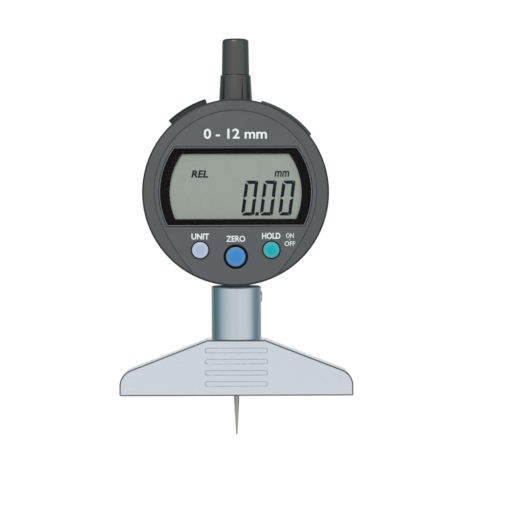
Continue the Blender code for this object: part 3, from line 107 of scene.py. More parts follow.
SPINDLE_BREAK = 0.0003

# Case
CASE_WALL = 0.0023
CASE_FRONT_ROUND = 0.0006
CASE_EDGE_BREAK = 0.00012
COVER_ROUND = 0.0008
COVER_SEAT = 0.0008
CASE_POST_CIRCLE = 0.0259
CASE_POST_WALL = 0.0009
UPPER_POST_ANGLE = 16
LOWER_POST_ANGLE = 42
SCREW_RADIUS = 0.0010
SCREW_HEAD = 0.0017
SCREW_HEAD_HEIGHT = 0.0009
SCREW_SLOT_WIDTH = 0.0004
SCREW_SLOT_DEPTH = 0.0004
SCREW_BREAK = 0.00025
SCREW_TURN = 37

# Shield-shaped face panel
PANEL_RADIUS = 0.025575
PANEL_FLANK_RADIUS = 0.0700
PANEL_FLANK_ANGLE = 26
PANEL_LIFT = 0.0003
PANEL_EDGE_BREAK = 0.00018
PANEL_GROOVE = 0.00035
PANEL_FIT = 0.00004
RING_SLOPE = 0.5

# Display
BEZEL_RADIUS = 0.0243
BEZEL_TOP = 0.01438
BEZEL_BOTTOM = 0.01066
BEZEL_LIP = 0.00035
BEZEL_FLANGE = 0.0005
BEZEL_BREAK = 0.00008
VIEW_RADIUS = 0.0210
VIEW_TOP = 0.01228
VIEW_BOTTOM = 0.00846

# Figures on the display, measured from the case's centre
DIGIT_HEIGHT = 0.01115
DIGIT_WIDTH = 0.00417
DIGIT_PITCH = 0.00591
DIGIT_STROKE = 0.00107
DIGIT_GAP = 0.00014
DIGIT_SLANT = 7.4
DIGIT_FOOT = -0.00738
DIGIT_FIRST = 0.00168
DIGIT_COUNT = 3
POINT_SIDE = 0.00112
INK_THICKNESS = 0.00003

# Words: name, words, left, right, foot, top, lean and boldness, from the case's centre
SIGNS = (
    ("unit_sign", "mm", 0.01242, 0.01710, 0.00496, 0.00687, 0.15, 0.02),
    ("state_sign", "REL", -0.01412, -0.00868, 0.00474, 0.00710, 0.2, 0.03),
)
LEGENDS = (
    ("unit_legend", "UNIT", -0.01405, -0.00845, -0.01494, -0.01300, 0, 0.03),
    ("zero_legend", "ZERO", -0.00300, 0.00300, -0.01570, -0.01376, 0, 0.022),
    ("hold_legend", "HOLD", 0.00836, 0.01419, -0.01478, -0.01285, 0, 0.03),
    ("on_legend", "ON", 0.01594, 0.01838, -0.01450, -0.01299, 0, 0.01),
    ("off_legend", "OFF", 0.01549, 0.01882, -0.01707, -0.01555, 0, 0.01),
    ("range_legend", "0 - 12 mm", -0.01000, 0.01000, 0.01700, 0.02020, 0, 0.02),
)
LETTER_DEPTH = 0.01
TICK_X = 0.01714
TICK_HALF_WIDTH = 0.00008
TICK_BOTTOM = -0.01530
TICK_TOP = -0.01472

# Buttons
SIDE_BUTTON_RING = 0.0003
SET_BUTTON_RING = 0.00075
BUTTON_ROUND = 0.0005
BUTTON_CROWN = 0.00015
HIGHLIGHT_REACH = 1.4
BUTTON_FLANGE = 0.0008
BUTTON_FLANGE_THICKNESS = 0.0006
GAP_SHADE_THICKNESS = 0.0003

# Collar and dust cap
BOSS_TOP_RADIUS = 0.00492
BOSS_BREAK = 0.0002
BOSS_SPIGOT_RADIUS = 0.0044
BOSS_SPIGOT_LENGTH = 0.0030
BOSS_PLUG_DEPTH = 0.0032
STEM_BORE_RADIUS = 0.0033
FLUTE_DEPTH = 0.00025
FLUTES = ((-47, 0.0009), (24, 0.0007), (50, 0.0014))
CAP_TOP_RADIUS = 0.00427
CAP_ROUND = 0.0010
CAP_CROWN_SLOPE = 0.3
CAP_EDGE_BREAK = 0.00018
CAP_SEAT_GAP = 0.00006
CAP_BORE_RADIUS = 0.003045
CAP_ROOF = 0.0013
PLUG_RADIUS = 0.003795

# Battery drawer and data cover
DRAWER_ANGLE = 56
DRAWER_HALF_ANGLE = 18.3
DRAWER_PROUD = 0.0012
DRAWER_COVER_THICKNESS = 0.0024
DRAWER_COVER_MARGIN = 0.0019
DRAWER_EDGE_ROUND = 0.0003
DRAWER_WALL = 0.0010
CELL_RADIUS = 0.005741
CELL_THICKNESS = 0.0054
CELL_CENTRE_RADIUS = 0.0207
CELL_CENTRE_DEPTH = 0.0015
PORT_ANGLE = 120.25
PORT_HALF_ANGLE = 12.5
PORT_DEPTH = -0.0018
PORT_COVER_THICKNESS = 0.00185
PORT_COVER_HALF_DEPTH = 0.0032
PORT_COVER_ROUND = 0.0004
PORT_SEAM_WIDTH = 0.0004
PORT_SEAM_DEPTH = 0.0002
PORT_SEAM_END = 1.2
PORT_HALF_LENGTH = 0.0042
PORT_HALF_WIDTH = 0.0016
PLUG_HALF_LENGTH = 0.0033
PLUG_HALF_WIDTH = 0.0007
PLUG_REACH = 0.0250

# Depths of the bump in each finish
COARSE_GRAIN = 0.000008
FINE_GRAIN = 0.000004
SMOOTH_GRAIN = 0.000003
BUTTON_GRAIN = 0.000005
RUBBER_GRAIN = 0.000012
INK_GRAIN = 0.000001
FLECK_DEPTH = 0.000002
TRACK_DEPTH = 0.00002
GROUND_LINES = 0.0000015
POLISHED_LINES = 0.0000004
NEEDLE_LINES = 0.0000003

# Levels and depths taken from the frame
case_low, case_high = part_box("front_case")
BODY_Z = (case_low.z + case_high.z) / 2
BODY_RADIUS = (case_high.x - case_low.x) / 2
FRONT_Y = case_low.y
SPLIT_Y = case_high.y
CAVITY_RADIUS = BODY_RADIUS - CASE_WALL
RIM_RADIUS = BODY_RADIUS - CASE_FRONT_ROUND
RIM_BACK_Y = FRONT_Y + CASE_FRONT_ROUND
PANEL_BACK_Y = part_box("face_panel")[1].y
PLATE_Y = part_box("lcd_panel")[0].y
PLATE_BACK_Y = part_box("set_button")[1].y - BUTTON_FLANGE_THICKNESS - SEAT_GAP
boss_low, boss_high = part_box("cap_boss")
BOSS_FOOT_Z = boss_low.z + BOSS_SPIGOT_LENGTH
BOSS_FOOT_RADIUS = boss_high.x
SPOT_Z = BOSS_FOOT_Z - SEAT_GAP
SPOT_RADIUS = BOSS_FOOT_RADIUS + SEAT_GAP


def linear(byte):
    """The linear value of an sRGB byte."""
    share = byte / 255
    return share / 12.92 if share <= 0.04045 else ((share + 0.055) / 1.055) ** 2.4


def colour(red, green, blue):
    return (linear(red), linear(green), linear(blue), 1)


# Outlines, as (x, z) points round the case's centre or (radius, height) points on an axis


def arc(radius, start, stop, steps, centre=(0, 0)):
    """Points on an arc, both ends included."""
    angles = [math.radians(start + (stop - start) * i / steps) for i in range(steps + 1)]
    return [(centre[0] + radius * math.cos(a), centre[1] + radius * math.sin(a)) for a in angles]


def circle(radius, centre, steps=SMALL_STEPS):
    return arc(radius, 0, 360, steps, centre)[:-1]


def box(left, right, bottom, top):
    return [(left, bottom), (right, bottom), (right, top), (left, top)]


def pin(radius, bottom, top):
    """The profile of a plain round bar or hole."""
    return [(0, top), (radius, top), (radius, bottom), (0, bottom)]


def top_round(radius, top, rounding, steps=CORNER_STEPS):
    """The rounded top edge of a profile, from its flat to its side."""
    return arc(rounding, 90, 0, steps, (radius - rounding, top - rounding))


def front_round(radius, front, rounding):
    """The rounded front edge of a profile that is turned along Y."""
    return arc(rounding, -90, 0, CORNER_STEPS, (radius - rounding, front + rounding))


def sector(inner, outer, half_angle):
    """The outline of a piece of a ring, centred on the +X direction."""
    outside = arc(outer, -half_angle, half_angle, SMALL_STEPS)
    return outside + arc(inner, half_angle, -half_angle, SMALL_STEPS)


def stadium(half_length, radius, height):
    """A lying oblong with round ends."""
    reach = half_length - radius
    right = arc(radius, -90, 90, 2 * CORNER_STEPS, (reach, height))
    left = arc(radius, 90, 270, 2 * CORNER_STEPS, (-reach, height))
    return right + left


def lens(radius, top, bottom):
    """The display's outline: two arcs of one circle between a top and a bottom flat."""
    upper = math.degrees(math.asin(top / radius))
    lower = math.degrees(math.asin(bottom / radius))
    right = arc(radius, -lower, upper, 4 * CORNER_STEPS)
    left = arc(radius, 180 - upper, 180 + lower, 4 * CORNER_STEPS)
    return right + left


def bezel_outline(margin):
    return lens(BEZEL_RADIUS + margin, BEZEL_TOP + margin, BEZEL_BOTTOM + margin)


def shield(margin, foot_radius):
    """The face panel's outline: round above, with flanks that run out at the foot."""
    top = PANEL_RADIUS + margin
    flank = PANEL_FLANK_RADIUS + margin
    offset = PANEL_FLANK_RADIUS - PANEL_RADIUS
    centre_x = offset * math.cos(math.radians(PANEL_FLANK_ANGLE))
    centre_z = PANEL_LIFT + offset * math.sin(math.radians(PANEL_FLANK_ANGLE))
    reach = math.hypot(centre_x, centre_z)
    share = (foot_radius**2 + reach**2 - flank**2) / (2 * foot_radius * reach)
    lean = math.degrees(math.atan2(centre_z, centre_x))
    foot_angle = 360 + lean - math.degrees(math.acos(share))
    foot_x = foot_radius * math.cos(math.radians(foot_angle))
    foot_z = foot_radius * math.sin(math.radians(foot_angle))
    flank_end = 360 + math.degrees(math.atan2(foot_z - centre_z, foot_x - centre_x))
    sweep = (-PANEL_FLANK_ANGLE, 180 + PANEL_FLANK_ANGLE)
    dome = arc(top, *sweep, BODY_STEPS // 2, (0, PANEL_LIFT))
    left = arc(flank, 180 + PANEL_FLANK_ANGLE, flank_end, CORNER_STEPS, (centre_x, centre_z))
    foot = arc(foot_radius, foot_angle, 540 - foot_angle, ROUND_STEPS // 2)
    right = [(-x, z) for x, z in reversed(left)]
    return dome[:-1] + left[:-1] + foot[:-1] + right[:-1]


def base_outline(half, height):
    """Front view of the base: flat foot, round ends and slopes up to a short land."""
    centre_x = half - BASE_END_RADIUS
    land = BASE_LAND / 2
    run = centre_x - land
    fall = height - BASE_END_HEIGHT
    slope = math.degrees(math.atan2(fall, run) - math.asin(BASE_END_RADIUS / math.hypot(run, fall)))
    foot_centre = (half - BASE_FOOT_RADIUS, BASE_FOOT_RADIUS)
    foot = arc(BASE_FOOT_RADIUS, -90, 0, CORNER_STEPS, foot_centre)
    end = arc(BASE_END_RADIUS, 0, 90 - slope, 3 * CORNER_STEPS, (centre_x, BASE_END_HEIGHT))
    right = foot + end + [(land, height)]
    return right + [(-x, z) for x, z in reversed(right)]


def post_places():
    """Where the four case screws stand round the case's centre."""
    upper, lower = UPPER_POST_ANGLE, LOWER_POST_ANGLE
    angles = (upper, 180 - upper, 180 + lower, 360 - lower)
    return [arc(CASE_POST_CIRCLE, angle, angle, 1)[0] for angle in angles]


class Button:
    """A push button's place round the case's centre, its cap's radius and the gap round it."""

    def __init__(self, name, ring, material):
        low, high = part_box(name)
        self.name = name
        self.x = (low.x + high.x) / 2
        self.z = (low.z + high.z) / 2 - BODY_Z
        self.radius = (high.x - low.x) / 2 - BUTTON_FLANGE
        self.ring = ring
        self.material = material

    def hole(self, margin):
        return circle(self.radius + margin, (self.x, self.z))

    def axis(self):
        return at(self.x, 0, BODY_Z + self.z) @ ALONG_Y


buttons = [
    Button("mode_button", SIDE_BUTTON_RING, "mode_colour"),
    Button("set_button", SET_BUTTON_RING, "set_colour"),
    Button("data_button", SIDE_BUTTON_RING, "data_colour"),
]


# Meshes


def at(x=0, y=0, z=0):
    return Matrix.Translation((x, y, z))


ALONG_Y = Matrix.Rotation(math.radians(-90), 4, "X")
ALONG_X = Matrix.Rotation(math.radians(90), 4, "Y")
UPRIGHT = Matrix.Rotation(math.radians(90), 4, "X")
CASE_PLACE = at(z=BODY_Z)
CASE_AXIS = CASE_PLACE @ ALONG_Y


def spoke(angle):
    """From the case's centre, with X pointing out at an angle in the front plane."""
    return CASE_PLACE @ Matrix.Rotation(math.radians(-angle), 4, "Y")


def linked(name, data):
    made = bpy.data.objects.new(name, data)
    bpy.context.scene.collection.objects.link(made)
    return made


def mesh_object(name, bm, place):
    """Close up a bmesh, put it in its place and link it as an object."""
    bmesh.ops.remove_doubles(bm, verts=bm.verts, dist=WELD)
    bmesh.ops.recalc_face_normals(bm, faces=bm.faces)
    bm.transform(place)
    mesh = bpy.data.meshes.new(name)
    bm.to_mesh(mesh)
    bm.free()
    return linked(name, mesh)


def slab(name, outlines, near, far, place=CASE_PLACE):
    """Extrude closed outlines of (x, z) points along Y, from near to far."""
    bm = bmesh.new()
    for outline in outlines:
        face = bm.faces.new([bm.verts.new((x, near, z)) for x, z in outline])
        moved = bmesh.ops.extrude_face_region(bm, geom=[face])
        tops = [item for item in moved["geom"] if isinstance(item, bmesh.types.BMVert)]
        bmesh.ops.translate(bm, verts=tops, vec=(0, far - near, 0))
    return mesh_object(name, bm, place)


def turned(name, profile, steps=ROUND_STEPS, place=Matrix.Identity(4)):
    """Spin a profile of (radius, height) points round Z; it closes on itself or on the axis."""
    bm = bmesh.new()
    verts = [bm.verts.new((radius, 0, height)) for radius, height in profile]
    edges = [bm.edges.new(pair) for pair in zip(verts, verts[1:])]
    if profile[0][0] > 0:
        edges.append(bm.edges.new((verts[-1], verts[0])))
    bmesh.ops.spin(
        bm, geom=verts + edges, cent=(0, 0, 0), axis=(0, 0, 1), angle=math.tau, steps=steps
    )
    return mesh_object(name, bm, place)


def settled_mesh(piece):
    """A new mesh of a piece as its modifiers or its text shape it."""
    bpy.context.view_layer.update()
    graph = bpy.context.evaluated_depsgraph_get()
    return bpy.data.meshes.new_from_object(piece.evaluated_get(graph))


def frozen(piece):
    """Turn a piece's modifiers into its own mesh."""
    mesh = settled_mesh(piece)
    piece.modifiers.clear()
    piece.data = mesh


def combined(piece, operation, tools):
    for tool in tools:
        step = piece.modifiers.new(tool.name, "BOOLEAN")
        step.operation = operation
        step.solver = "EXACT"
        step.object = tool
    frozen(piece)
    for tool in tools:
        bpy.data.objects.remove(tool, do_unlink=True)


def cut(piece, *tools):
    combined(piece, "DIFFERENCE", tools)


def join(piece, *others):
    combined(piece, "UNION", others)


def edge_break(piece, width, segments=3, slot=-1, clamped=True):
    """Round a piece's sharp edges; the rounding can take a material slot of its own."""
    step = piece.modifiers.new("edge_break", "BEVEL")
    step.width = width
    step.segments = segments
    step.limit_method = "ANGLE"
    step.angle_limit = math.radians(SMOOTH_ANGLE)
    step.material = slot
    step.use_clamp_overlap = clamped
    return piece


def smoothed(mesh):
    """Shade a mesh smooth between its sharp edges."""
    mesh.shade_smooth()
    mesh.set_sharp_from_angle(angle=math.radians(SMOOTH_ANGLE))


def shaded(piece):
    """Shade a piece smooth, with its flats kept flat."""
    smoothed(piece.data)
    step = piece.modifiers.new("even_shading", "WEIGHTED_NORMAL")
    step.keep_sharp = True


def painted(piece, main, *others):
    """Cover a piece in one material; each other one comes with the test that picks its faces."""
    piece.data.materials.append(materials[main])
    for other, _ in others:
        piece.data.materials.append(materials[other])
    for face in piece.data.polygons:
        face.material_index = 0
        for slot, (_, picked) in enumerate(others, 1):
            if picked(face):
                face.material_index = slot


def from_axis(face, x=0, z=0):
    """How far a face lies from an axis along Y, placed round the case's centre."""
    return math.hypot(face.center.x - x, face.center.z - BODY_Z - z)


def carried(piece, body, slot_name, look=None):
    """Put a piece on its body; an unpainted one takes a material, by default its slot's."""
    if not piece.data.materials:
        piece.data.materials.append(materials[look or slot_name])
    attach(piece, body)


def dressed(piece, body, node, slot_name, look=None):
    """Finish a piece that stands for a node of its body."""
    shaded(piece)
    carried(piece, body, slot_name, look)
    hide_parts(node)


# Materials

PER_METRE = 1000
materials = {}


def shader_node(tree, kind, inputs, operation=None):
    """Add a node; each of its inputs is another node's output or a plain value."""
    node = tree.nodes.new("ShaderNode" + kind)
    if operation:
        node.operation = operation
    if kind == "Mix":
        node.data_type = "RGBA"
    for socket, value in inputs.items():
        if isinstance(value, bpy.types.NodeSocket):
            tree.links.new(value, node.inputs[socket])
        else:
            node.inputs[socket].default_value = value
    return node


class Surface:
    """A Principled material, kept under its name, with its texture space in millimetres."""

    def __init__(self, name, base, roughness, metallic=0.0, specular=0.5):
        material = bpy.data.materials.new(name)
        material.use_nodes = True
        materials[name] = material
        self.tree = material.node_tree
        self.sockets = self.tree.nodes["Principled BSDF"].inputs
        self.base = base
        self.sockets["Base Color"].default_value = base
        self.sockets["Roughness"].default_value = roughness
        self.sockets["Metallic"].default_value = metallic
        self.sockets["Specular IOR Level"].default_value = specular

    def node(self, kind, inputs, operation=None):
        return shader_node(self.tree, kind, inputs, operation)

    def scaled(self, vector, scale):
        return self.node("VectorMath", {0: vector, 1: scale}, "MULTIPLY").outputs[0]

    def space(self, stretch=(1, 1, 1)):
        """Object coordinates in millimetres, stretched along the axes."""
        place = self.node("TexCoord", {}).outputs["Object"]
        return self.scaled(place, [PER_METRE * share for share in stretch])

    def noise(self, scale, detail=2.0, stretch=(1, 1, 1)):
        """Noise whose features are about 1 / scale millimetres across."""
        inputs = {"Scale": scale, "Detail": detail, "Vector": self.space(stretch)}
        return self.node("TexNoise", inputs).outputs["Fac"]

    def spread_from(self, centre, reach):
        """Distance from an axis along Y, where the reach counts as 1."""
        place = self.node("TexCoord", {}).outputs["Object"]
        shift = self.node("VectorMath", {0: place, 1: centre}, "SUBTRACT").outputs[0]
        flat = self.scaled(shift, (1 / reach, 0, 1 / reach))
        return self.node("VectorMath", {0: flat}, "LENGTH").outputs["Value"]

    def ranged(self, value, low, high, spread=0.25):
        """Spread the middle of a 0 to 1 value over low to high."""
        inputs = {"Value": value, "From Min": 0.5 - spread, "From Max": 0.5 + spread}
        inputs |= {"To Min": low, "To Max": high}
        return self.node("MapRange", inputs).outputs["Result"]

    def tint(self, value, other, low=0.0, high=1.0, spread=0.25):
        """Blend the colour so far towards another by a 0 to 1 value."""
        colour_socket = self.sockets["Base Color"]
        so_far = colour_socket.links[0].from_socket if colour_socket.is_linked else self.base
        share = self.ranged(value, low, high, spread)
        mix = self.node("Mix", {"Factor": share, "A": so_far, "B": other})
        self.tree.links.new(mix.outputs["Result"], colour_socket)

    def worn(self, value, low, high):
        """Let the roughness follow a 0 to 1 value."""
        self.tree.links.new(self.ranged(value, low, high), self.sockets["Roughness"])

    def relief(self, value, depth):
        """Add a bump of a depth in metres."""
        bump = self.node("Bump", {"Height": value, "Distance": depth})
        self.tree.links.new(bump.outputs["Normal"], self.sockets["Normal"])


def darker(base, share):
    return tuple(channel * share for channel in base[:3]) + (1,)


def moulded_plastic(name, base, roughness, grain=5.0, depth=FINE_GRAIN, specular=0.5):
    """Moulded plastic with a fine grain and faint cloudiness."""
    made = Surface(name, base, roughness, specular=specular)
    fine = made.noise(grain, 3.0)
    made.tint(made.noise(0.12, 3.0), darker(base, 0.88))
    made.worn(fine, roughness - 0.06, roughness + 0.08)
    made.relief(fine, depth)
    return made


def soft_rubber(name, base):
    made = Surface(name, base, 0.78, specular=0.25)
    made.tint(made.noise(0.3, 3.0), darker(base, 0.8))
    made.worn(made.noise(1.5), 0.7, 0.88)
    made.relief(made.noise(9.0, 4.0), RUBBER_GRAIN)


def lined_metal(name, base, roughness, stretch, depth=GROUND_LINES):
    """Metal with fine machining lines; stretch shrinks the texture along the lines."""
    made = Surface(name, base, roughness, metallic=1.0)
    lines = made.noise(7.0, 3.0, stretch)
    made.tint(lines, darker(base, 0.9), high=0.8)
    made.tint(made.noise(0.15, 2.0), darker(base, 0.95))
    made.worn(made.noise(7.0 / 3, 2.0, stretch), roughness - 0.05, roughness + 0.06)
    made.relief(lines, depth)


def speckled(name, base, roughness, other, grain, metallic=0.0, specular=0.5):
    """A plain hard surface with small flecks of a second tone."""
    made = Surface(name, base, roughness, metallic, specular)
    fine = made.noise(grain, 3.0)
    made.tint(fine, other, high=0.5)
    made.worn(made.noise(grain / 4), roughness - 0.04, roughness + 0.05)
    made.relief(fine, FLECK_DEPTH)


def circuit_board(name):
    """Green solder mask over a faint grid of tracks."""
    made = Surface(name, colour(30, 82, 52), 0.35)
    turn = {"Vector": made.space(), "Rotation": (math.radians(90), 0, 0)}
    grid = {"Vector": made.node("Mapping", turn).outputs["Vector"], "Scale": 0.4}
    grid |= {"Color1": (0, 0, 0, 1), "Color2": (0, 0, 0, 1)}
    grid |= {"Mortar": (1, 1, 1, 1), "Mortar Size": 0.04}
    tracks = made.node("TexBrick", grid).outputs["Fac"]
    made.tint(tracks, colour(70, 130, 84), spread=0.5)
    made.worn(made.noise(2.0), 0.3, 0.42)
    made.relief(tracks, TRACK_DEPTH)


def clear_glass(name):
    """A thin clear pane."""
    made = Surface(name, colour(40, 42, 42), 0.08, specular=0.10)
    made.sockets["Alpha"].default_value = 0.06


def ink(name, base, roughness=0.5):
    made = Surface(name, base, roughness, specular=0.1)
    made.tint(made.noise(3.0), darker(base, 0.85), high=0.5)
    made.relief(made.noise(12.0), INK_GRAIN)


def button_plastic(button, base, rim_highlight):
    """A satin cap, painted paler towards its rim as a painted highlight round its button's middle.
    """
    low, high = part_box(button.name)
    made = Surface(button.material, base, 0.42, specular=0.15)
    fine = made.noise(7.0, 3.0)
    made.tint(made.noise(0.5, 2.0), darker(base, 0.95))
    rise = made.spread_from((low + high) / 2, button.radius * HIGHLIGHT_REACH)
    made.tint(rise, rim_highlight, spread=0.18)
    made.worn(fine, 0.36, 0.5)
    made.relief(fine, BUTTON_GRAIN)


def collar_plastic(name):
    """The glossier, slightly warm plastic of the collar and the cap."""
    made = moulded_plastic(name, colour(57, 60, 57), 0.22, depth=SMOOTH_GRAIN, specular=0.75)
    made.sockets["Specular Tint"].default_value = (1, 0.97, 0.93, 1)


# The base's edge breaks and slot edges take darker steels as painted shade, the slots' upward-facing
# edges the darkest
BASE_STEELS = ("ground_steel", "edge_shade_steel", "slot_shade_steel", "ledge_shade_steel")
DARK_STEEL = colour(70, 72, 76)

lined_metal("ground_steel", colour(214, 218, 222), 0.36, (0.12, 1, 1))
lined_metal("edge_shade_steel", colour(106, 109, 111), 0.45, (0.12, 1, 1))
lined_metal("slot_shade_steel", colour(190, 195, 198), 0.4, (0.12, 1, 1))
lined_metal("ledge_shade_steel", colour(158, 163, 166), 0.4, (0.12, 1, 1))
lined_metal("bright_steel", colour(200, 207, 213), 0.12, (0.04, 0.04, 1), POLISHED_LINES)
lined_metal("neck_steel", colour(190, 203, 212), 0.55, (0.08, 0.08, 1))
lined_metal("needle_steel", colour(158, 156, 150), 0.14, (1, 1, 0.1), NEEDLE_LINES)
lined_metal("spring_steel", colour(170, 172, 176), 0.28, (1, 0.2, 1))
lined_metal("brass", colour(190, 160, 90), 0.32, (0.1, 0.1, 1))
lined_metal("aluminium", colour(185, 188, 192), 0.42, (0.15, 1, 1))
speckled("dark_steel", DARK_STEEL, 0.35, darker(DARK_STEEL, 0.6), 6.0, metallic=1.0)
speckled("copper", colour(170, 110, 70), 0.4, colour(120, 80, 50), 3.0, metallic=1.0)
speckled("display", colour(166, 172, 162), 0.4, colour(155, 162, 152), 1.2, specular=0.2)
speckled("scale_glass", colour(150, 165, 160), 0.15, colour(90, 100, 98), 4.0)
moulded_plastic("case_plastic", colour(75, 77, 77), 0.36)
moulded_plastic("panel_plastic", colour(79, 81, 84), 0.36, 6.0)
# Darker plastic, painted shade on rounded edges and the cap's crown where they turn away from the
# light
moulded_plastic("painted_shade_plastic", colour(56, 58, 58), 0.36, specular=0.1)
moulded_plastic("drawer_plastic", colour(60, 63, 62), 0.36)
# Pale grey, a painted highlight for the lip along the display window's edge
moulded_plastic("lip_highlight_plastic", colour(104, 108, 112), 0.4, depth=COARSE_GRAIN, specular=0.35)
# Dark navy, painted shade for the gaps round the buttons
moulded_plastic("gap_shade_plastic", colour(24, 28, 48), 0.4, depth=SMOOTH_GRAIN, specular=0.2)
moulded_plastic("black_plastic", colour(9, 9, 7), 0.34, 4.0, SMOOTH_GRAIN, 0.06)
collar_plastic("collar_plastic")
soft_rubber("rubber", colour(46, 48, 48))
# Paler rubber, a painted highlight along the data cover's seam
soft_rubber("seam_highlight_rubber", colour(86, 88, 88))
clear_glass("clear_glass")
circuit_board("circuit_board")
ink("segment_ink", colour(16, 26, 34), 0.35)
ink("legend_ink", colour(226, 229, 230))
# Each button's colour, then the paler colour of its painted highlight towards the rim
for button, base, rim_highlight in zip(
    buttons,
    (colour(165, 178, 203), colour(52, 131, 198), colour(2, 168, 177)),
    (colour(184, 190, 203), colour(92, 135, 173), colour(88, 162, 167)),
):
    button_plastic(button, base, rim_highlight)


# Pieces


def make_base():
    low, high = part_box("base")
    height = high.z - low.z
    place = at(z=low.z)
    base = slab("ground_base", [base_outline(high.x, height)], low.y, high.y, place)
    for name in BASE_STEELS:
        base.data.materials.append(materials[name])
    # The rounded outer edges are painted dark steel as painted shade
    edge_slot = BASE_STEELS.index("edge_shade_steel")
    frozen(edge_break(base, BASE_EDGE_BREAK, slot=edge_slot, clamped=False))
    levels = [GRIP_SLOT_FIRST + GRIP_SLOT_PITCH * i for i in range(GRIP_SLOT_COUNT)]
    slots = [stadium(GRIP_SLOT_LENGTH / 2, GRIP_SLOT_WIDTH / 2, level) for level in levels]
    floor = high.y - GRIP_SLOT_DEPTH
    front = slab("front_slots", slots, -high.y - OVERRUN, -floor, place)
    back = slab("back_slots", slots, floor, high.y + OVERRUN, place)
    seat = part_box("sleeve")[0].z - low.z - SEAT_GAP
    seat_radius = SPIGOT_RADIUS + SEAT_GAP
    bore = [
        (0, height + OVERRUN),
        (seat_radius, height + OVERRUN),
        (seat_radius, seat),
        (BASE_BORE_RADIUS, seat),
        (BASE_BORE_RADIUS, -OVERRUN),
        (0, -OVERRUN),
    ]
    cut(base, front, back, turned("spindle_bore", bore, place=place))
    # The slot edges are painted darker as painted shade, and their upward-facing edges darker still
    grip_slot = BASE_STEELS.index("slot_shade_steel")
    frozen(edge_break(base, GRIP_SLOT_BREAK, 2, grip_slot, clamped=False))
    for face in base.data.polygons:
        if face.material_index == grip_slot and face.normal.z > LEDGE_SLOPE:
            face.material_index = BASE_STEELS.index("ledge_shade_steel")
    dressed(base, "root", "base", "ground_steel")


def clamp_axis():
    """The clamp screw's axis, with Z pointing out along X."""
    low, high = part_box("clamp_screw")
    return at(z=(low.z + high.z) / 2) @ ALONG_X


def make_sleeve():
    low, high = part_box("sleeve")
    radius = high.x
    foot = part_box("base")[1].z + SLEEVE_SEAT_GAP
    profile = [
        (SLEEVE_BORE_RADIUS, high.z),
        *top_round(radius, high.z, SLEEVE_TOP_ROUND),
        (radius, foot + SLEEVE_FOOT_BREAK),
        (radius - SLEEVE_FOOT_BREAK, foot),
        (SPIGOT_RADIUS, foot),
        (SPIGOT_RADIUS, low.z),
        (SLEEVE_BORE_RADIUS, low.z),
    ]
    sleeve = turned("turned_sleeve", profile)
    hole = pin(CLAMP_RADIUS + SEAT_GAP, 0, radius + OVERRUN)
    cut(sleeve, turned("clamp_hole", hole, SMALL_STEPS, clamp_axis()))
    neck = high.z - SLEEVE_TOP_ROUND

    def on_shoulder(face):
        return face.center.z > neck and face.normal.z > SHOULDER_SLOPE

    painted(sleeve, "bright_steel", ("neck_steel", on_shoulder))
    edge_break(sleeve, SLEEVE_FOOT_BREAK / 2, 2)
    dressed(sleeve, "root", "sleeve", "bright_steel")


def make_clamp_screw():
    low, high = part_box("clamp_screw")
    profile = [
        (0, high.x),
        *top_round(CLAMP_RADIUS, high.x, CLAMP_ROUND),
        (CLAMP_RADIUS, low.x + CLAMP_BREAK),
        (CLAMP_RADIUS - CLAMP_BREAK, low.x),
        (0, low.x),
    ]
    screw = turned("set_screw", profile, SMALL_STEPS, clamp_axis())
    socket = pin(CLAMP_SOCKET_RADIUS, high.x - CLAMP_SOCKET_DEPTH, high.x + OVERRUN)
    cut(screw, turned("clamp_socket", socket, CLAMP_SOCKET_SIDES, clamp_axis()))
    dressed(screw, "root", "clamp_screw", "dark_steel", "bright_steel")


def make_needle():
    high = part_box("needle_point")[1]
    shank_radius = high.x
    shank_foot = NEEDLE_TAPER_LENGTH + NEEDLE_SHOULDER
    shank_top = shank_foot + NEEDLE_SHANK_LENGTH
    profile = [
        (0, high.z),
        (NEEDLE_THREAD_RADIUS, high.z),
        (NEEDLE_THREAD_RADIUS, shank_top),
        (shank_radius - NEEDLE_BREAK, shank_top),
        (shank_radius, shank_top - NEEDLE_BREAK),
        (shank_radius, shank_foot),
        (NEEDLE_TAPER_RADIUS, NEEDLE_TAPER_LENGTH),
        (NEEDLE_WAIST_RADIUS, NEEDLE_WAIST_HEIGHT),
        (NEEDLE_TIP_RADIUS + NEEDLE_ROUND, NEEDLE_ROUND),
        (NEEDLE_TIP_RADIUS, 0),
        (0, 0),
    ]
    needle = turned("ground_needle", profile, SMALL_STEPS)
    dressed(needle, "spindle", "needle_point", "bright_steel", "needle_steel")


def make_spindle():
    low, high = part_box("spindle")
    radius = high.x
    bore = NEEDLE_THREAD_RADIUS + SEAT_GAP
    bore_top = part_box("needle_point")[1].z + SEAT_GAP
    profile = [
        (0, high.z),
        (radius - SPINDLE_BREAK, high.z),
        (radius, high.z - SPINDLE_BREAK),
        (radius, low.z + SPINDLE_BREAK),
        (radius - SPINDLE_BREAK, low.z),
        (bore, low.z),
        (bore, bore_top),
        (0, bore_top),
    ]
    rod = turned("spindle_rod", profile, SMALL_STEPS)
    dressed(rod, "spindle", "spindle", "bright_steel")


def spot_face():
    """The flat that the collar stands on, cut into the round case."""
    top = BODY_Z + BODY_RADIUS + OVERRUN
    return turned("spot_face", pin(SPOT_RADIUS, SPOT_Z, top))


def post_rounds(name, radius, near, far):
    """Round posts or holes on the four case screws' axes."""
    return slab(name, [circle(radius, spot) for spot in post_places()], near, far)


